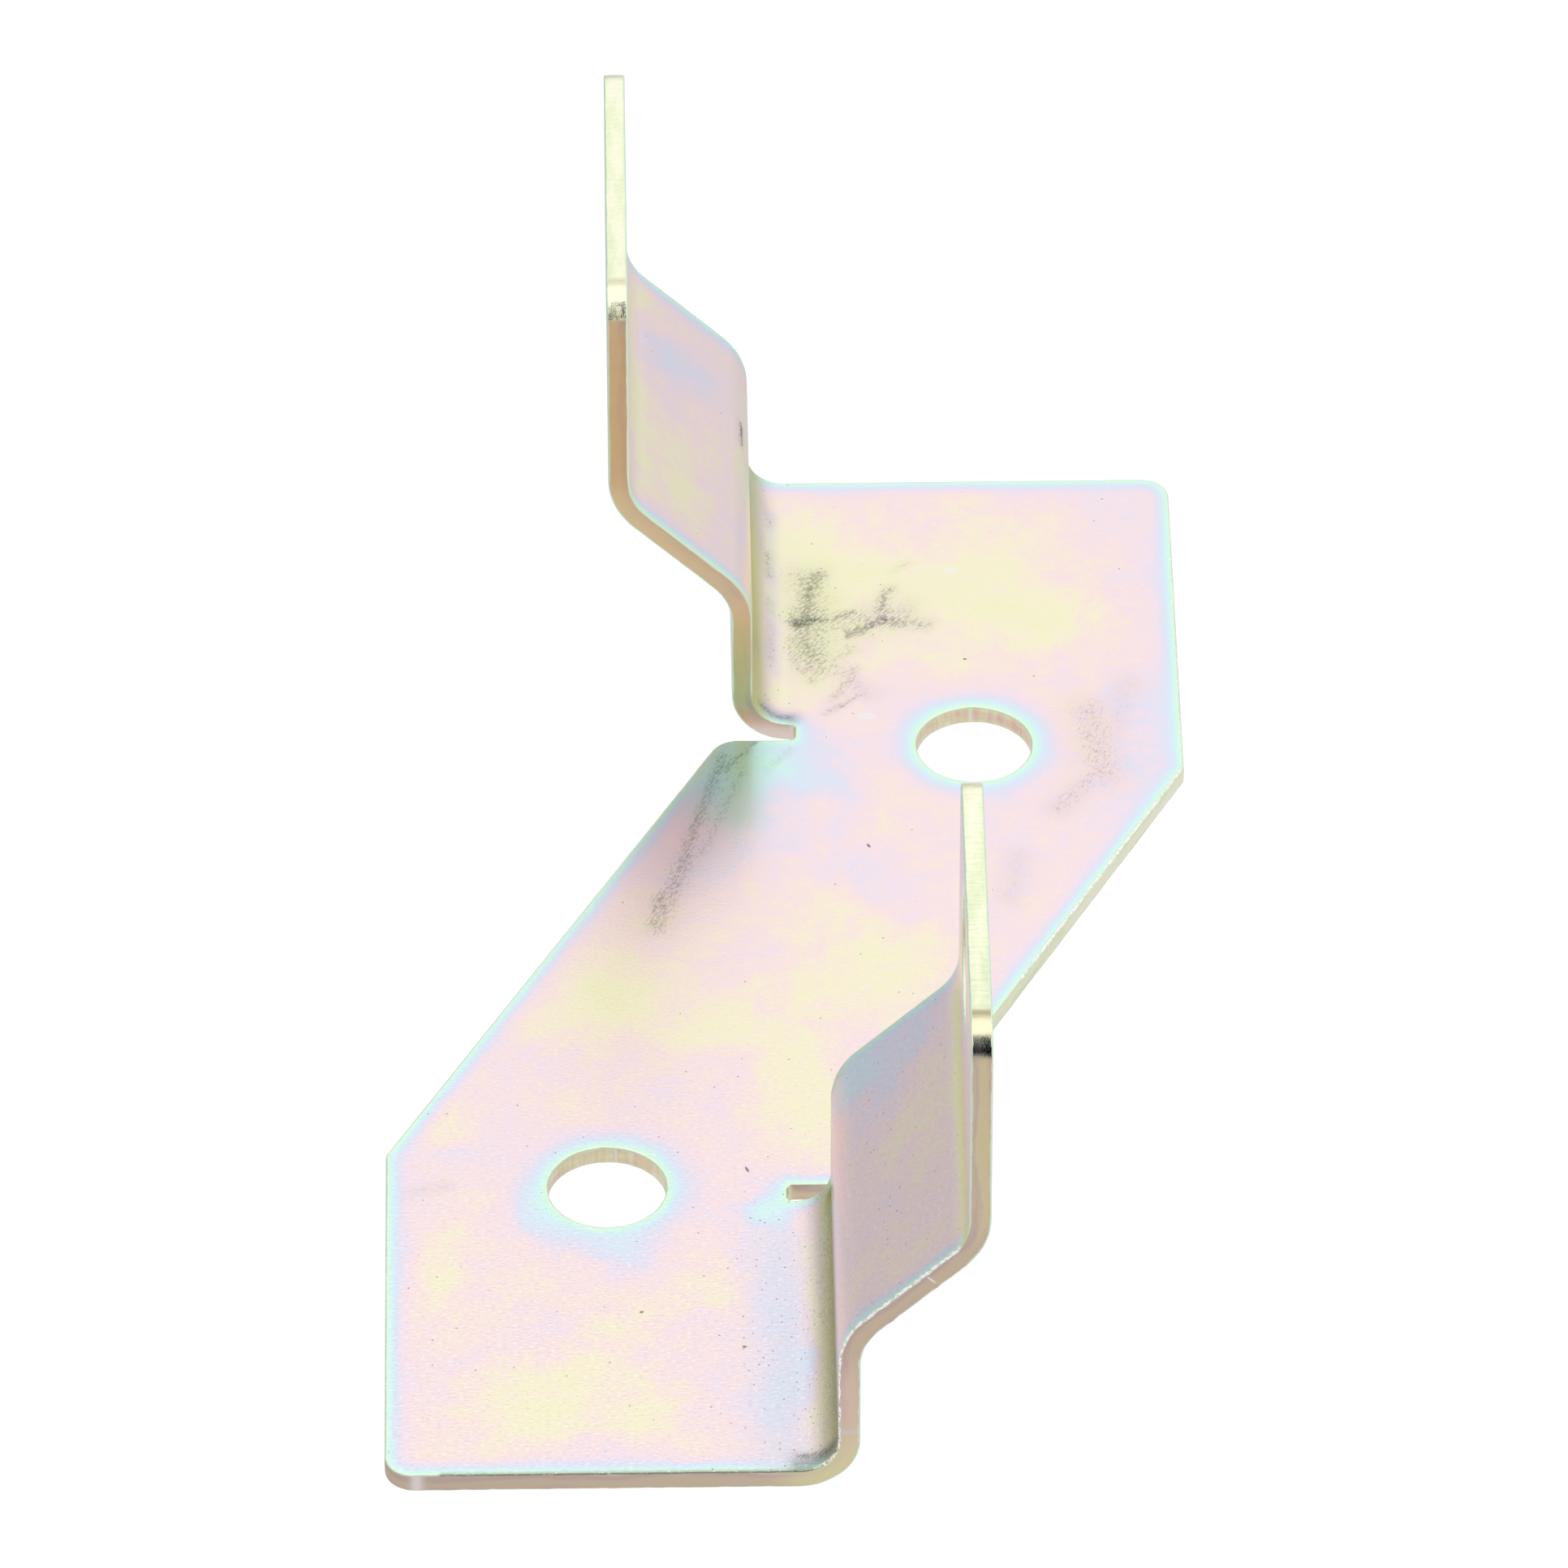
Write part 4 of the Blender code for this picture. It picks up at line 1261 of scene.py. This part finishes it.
def black_cloth():
    """Two narrow strips of matt black cloth on the camera's side, for the dark glints at the tabs' corners.

    Each lies on the table from before the bracket to its far end, and hangs there.
    """
    material, tree = empty_material("black_cloth")
    shader = add(tree, "BsdfPrincipled", {"Base Color": (0.055, 0.06, 0.08, 1.0), "Roughness": 0.9})
    add(tree, "OutputMaterial", {"Surface": shader})
    near, far, lift, top = -0.16, -0.75, 0.4 * MM, 1.60
    # Left and right edge of each strip at its near end, and at its far end
    strips = ((-0.056, -0.028, -0.076, -0.036), (0.026, 0.062, 0.048, 0.130))
    mesh = bpy.data.meshes.new("black_cloth")
    corners, faces = [], []
    for near_left, near_right, left, right in strips:
        k = len(corners)
        corners += [(near_left, near, lift), (near_right, near, lift), (right, far, lift),
                    (left, far, lift), (right, far, top), (left, far, top)]
        faces += [(k, k + 1, k + 2, k + 3), (k + 3, k + 2, k + 4, k + 5)]
    mesh.from_pydata(corners, [], faces)
    mesh.materials.append(material)
    cloth = bpy.data.objects.new("black_cloth", mesh)
    cloth.visible_camera = False
    cloth.visible_shadow = False
    bpy.context.scene.collection.objects.link(cloth)


def white_room(studio):
    """Soft white light from overhead, dimmer towards table height and dimmest there on the left."""
    world = bpy.data.worlds.new("white_room")
    world.use_nodes = True
    tree = world.node_tree
    tree.nodes.clear()
    way = add(tree, "SeparateXYZ", (add(tree, "TexCoord", output="Generated"),), output="Z")
    climb = add(tree, "ValToRGB", (way,), output="Color")
    # Height of a direction above the horizon, and the share of the overhead light there
    stops = ((0.0, 0.0), (0.17, 0.20), (0.35, 0.38), (0.53, 0.62), (0.65, 0.84), (0.80, 1.0))
    set_stops(climb, [(place, (level, level, level, 1.0)) for place, level in stops])
    low = add(tree, "MapRange", {"Value": way.node.outputs["X"], "From Min": -0.5, "From Max": 0.5,
                                 "To Min": studio.left_light, "To Max": studio.right_light})
    rise = add(tree, "Math", (studio.overhead_light, low), operation="SUBTRACT")
    light = add(tree, "Math", (climb, rise, low), operation="MULTIPLY_ADD")
    glow = add(tree, "Background", {"Color": light})
    add(tree, "OutputWorld", {"Surface": glow})
    bpy.context.scene.world = world


def photo_camera(studio):
    """Long lens, looking down at the bracket from its front."""
    turn, tilt = studio.camera_turn, studio.camera_height
    right = Vector((math.cos(turn), math.sin(turn), 0.0))
    back = Vector((math.sin(turn) * math.cos(tilt), -math.cos(turn) * math.cos(tilt), math.sin(tilt)))
    up = back.cross(right)
    data = bpy.data.cameras.new("camera")
    data.lens = studio.lens
    data.sensor_width = 36.0
    camera = bpy.data.objects.new("camera", data)
    camera.matrix_world = Matrix((right, up, back)).transposed().to_4x4()
    # Where it aims, along its own right and up from the middle of the bracket's foot
    aim_right, aim_up = -0.654 * MM, 18.012 * MM
    camera.location = aim_right * right + aim_up * up + studio.camera_distance * back
    bpy.context.scene.collection.objects.link(camera)
    bpy.context.scene.camera = camera


class BRACKET_OT_studio(bpy.types.Operator):
    """Set up the white table, the white room, the black cloth and the camera"""
    bl_idname = "bracket.studio"
    bl_label = "Set up the studio"

    def execute(self, context):
        studio = context.scene.bracket_studio
        white_table(studio)
        black_cloth()
        white_room(studio)
        photo_camera(studio)
        context.scene.view_settings.view_transform = "Standard"
        return {"FINISHED"}


class BRACKET_PT_panel(bpy.types.Panel):
    """Panel that lists the bracket's sizes, finish and studio"""
    bl_idname = "BRACKET_PT_panel"
    bl_label = "Mounting bracket"
    bl_space_type = "VIEW_3D"
    bl_region_type = "UI"
    bl_category = "Bracket"

    def draw(self, context):
        for group, operator in (("bracket_shape", "bracket.fold_sheet"), ("bracket_finish", None),
                                ("bracket_studio", "bracket.studio")):
            box = self.layout.box()
            settings = getattr(context.scene, group)
            for name in settings.bl_rna.properties.keys():
                if name not in ("rna_type", "name"):
                    box.prop(settings, name)
            if operator:
                box.operator(operator)


classes = (BracketShape, BracketFinish, BracketStudio, BRACKET_OT_fold_sheet, BRACKET_OT_studio,
           BRACKET_PT_panel)
groups = {"bracket_shape": BracketShape, "bracket_finish": BracketFinish, "bracket_studio": BracketStudio}


def register():
    for item in classes:
        bpy.utils.register_class(item)
    for name, group in groups.items():
        setattr(bpy.types.Scene, name, bpy.props.PointerProperty(type=group))


def unregister():
    for name in groups:
        delattr(bpy.types.Scene, name)
    for item in reversed(classes):
        bpy.utils.unregister_class(item)


def main():
    register()
    bpy.ops.bracket.fold_sheet()
    bpy.ops.bracket.studio()


if __name__ == "__main__":
    main()
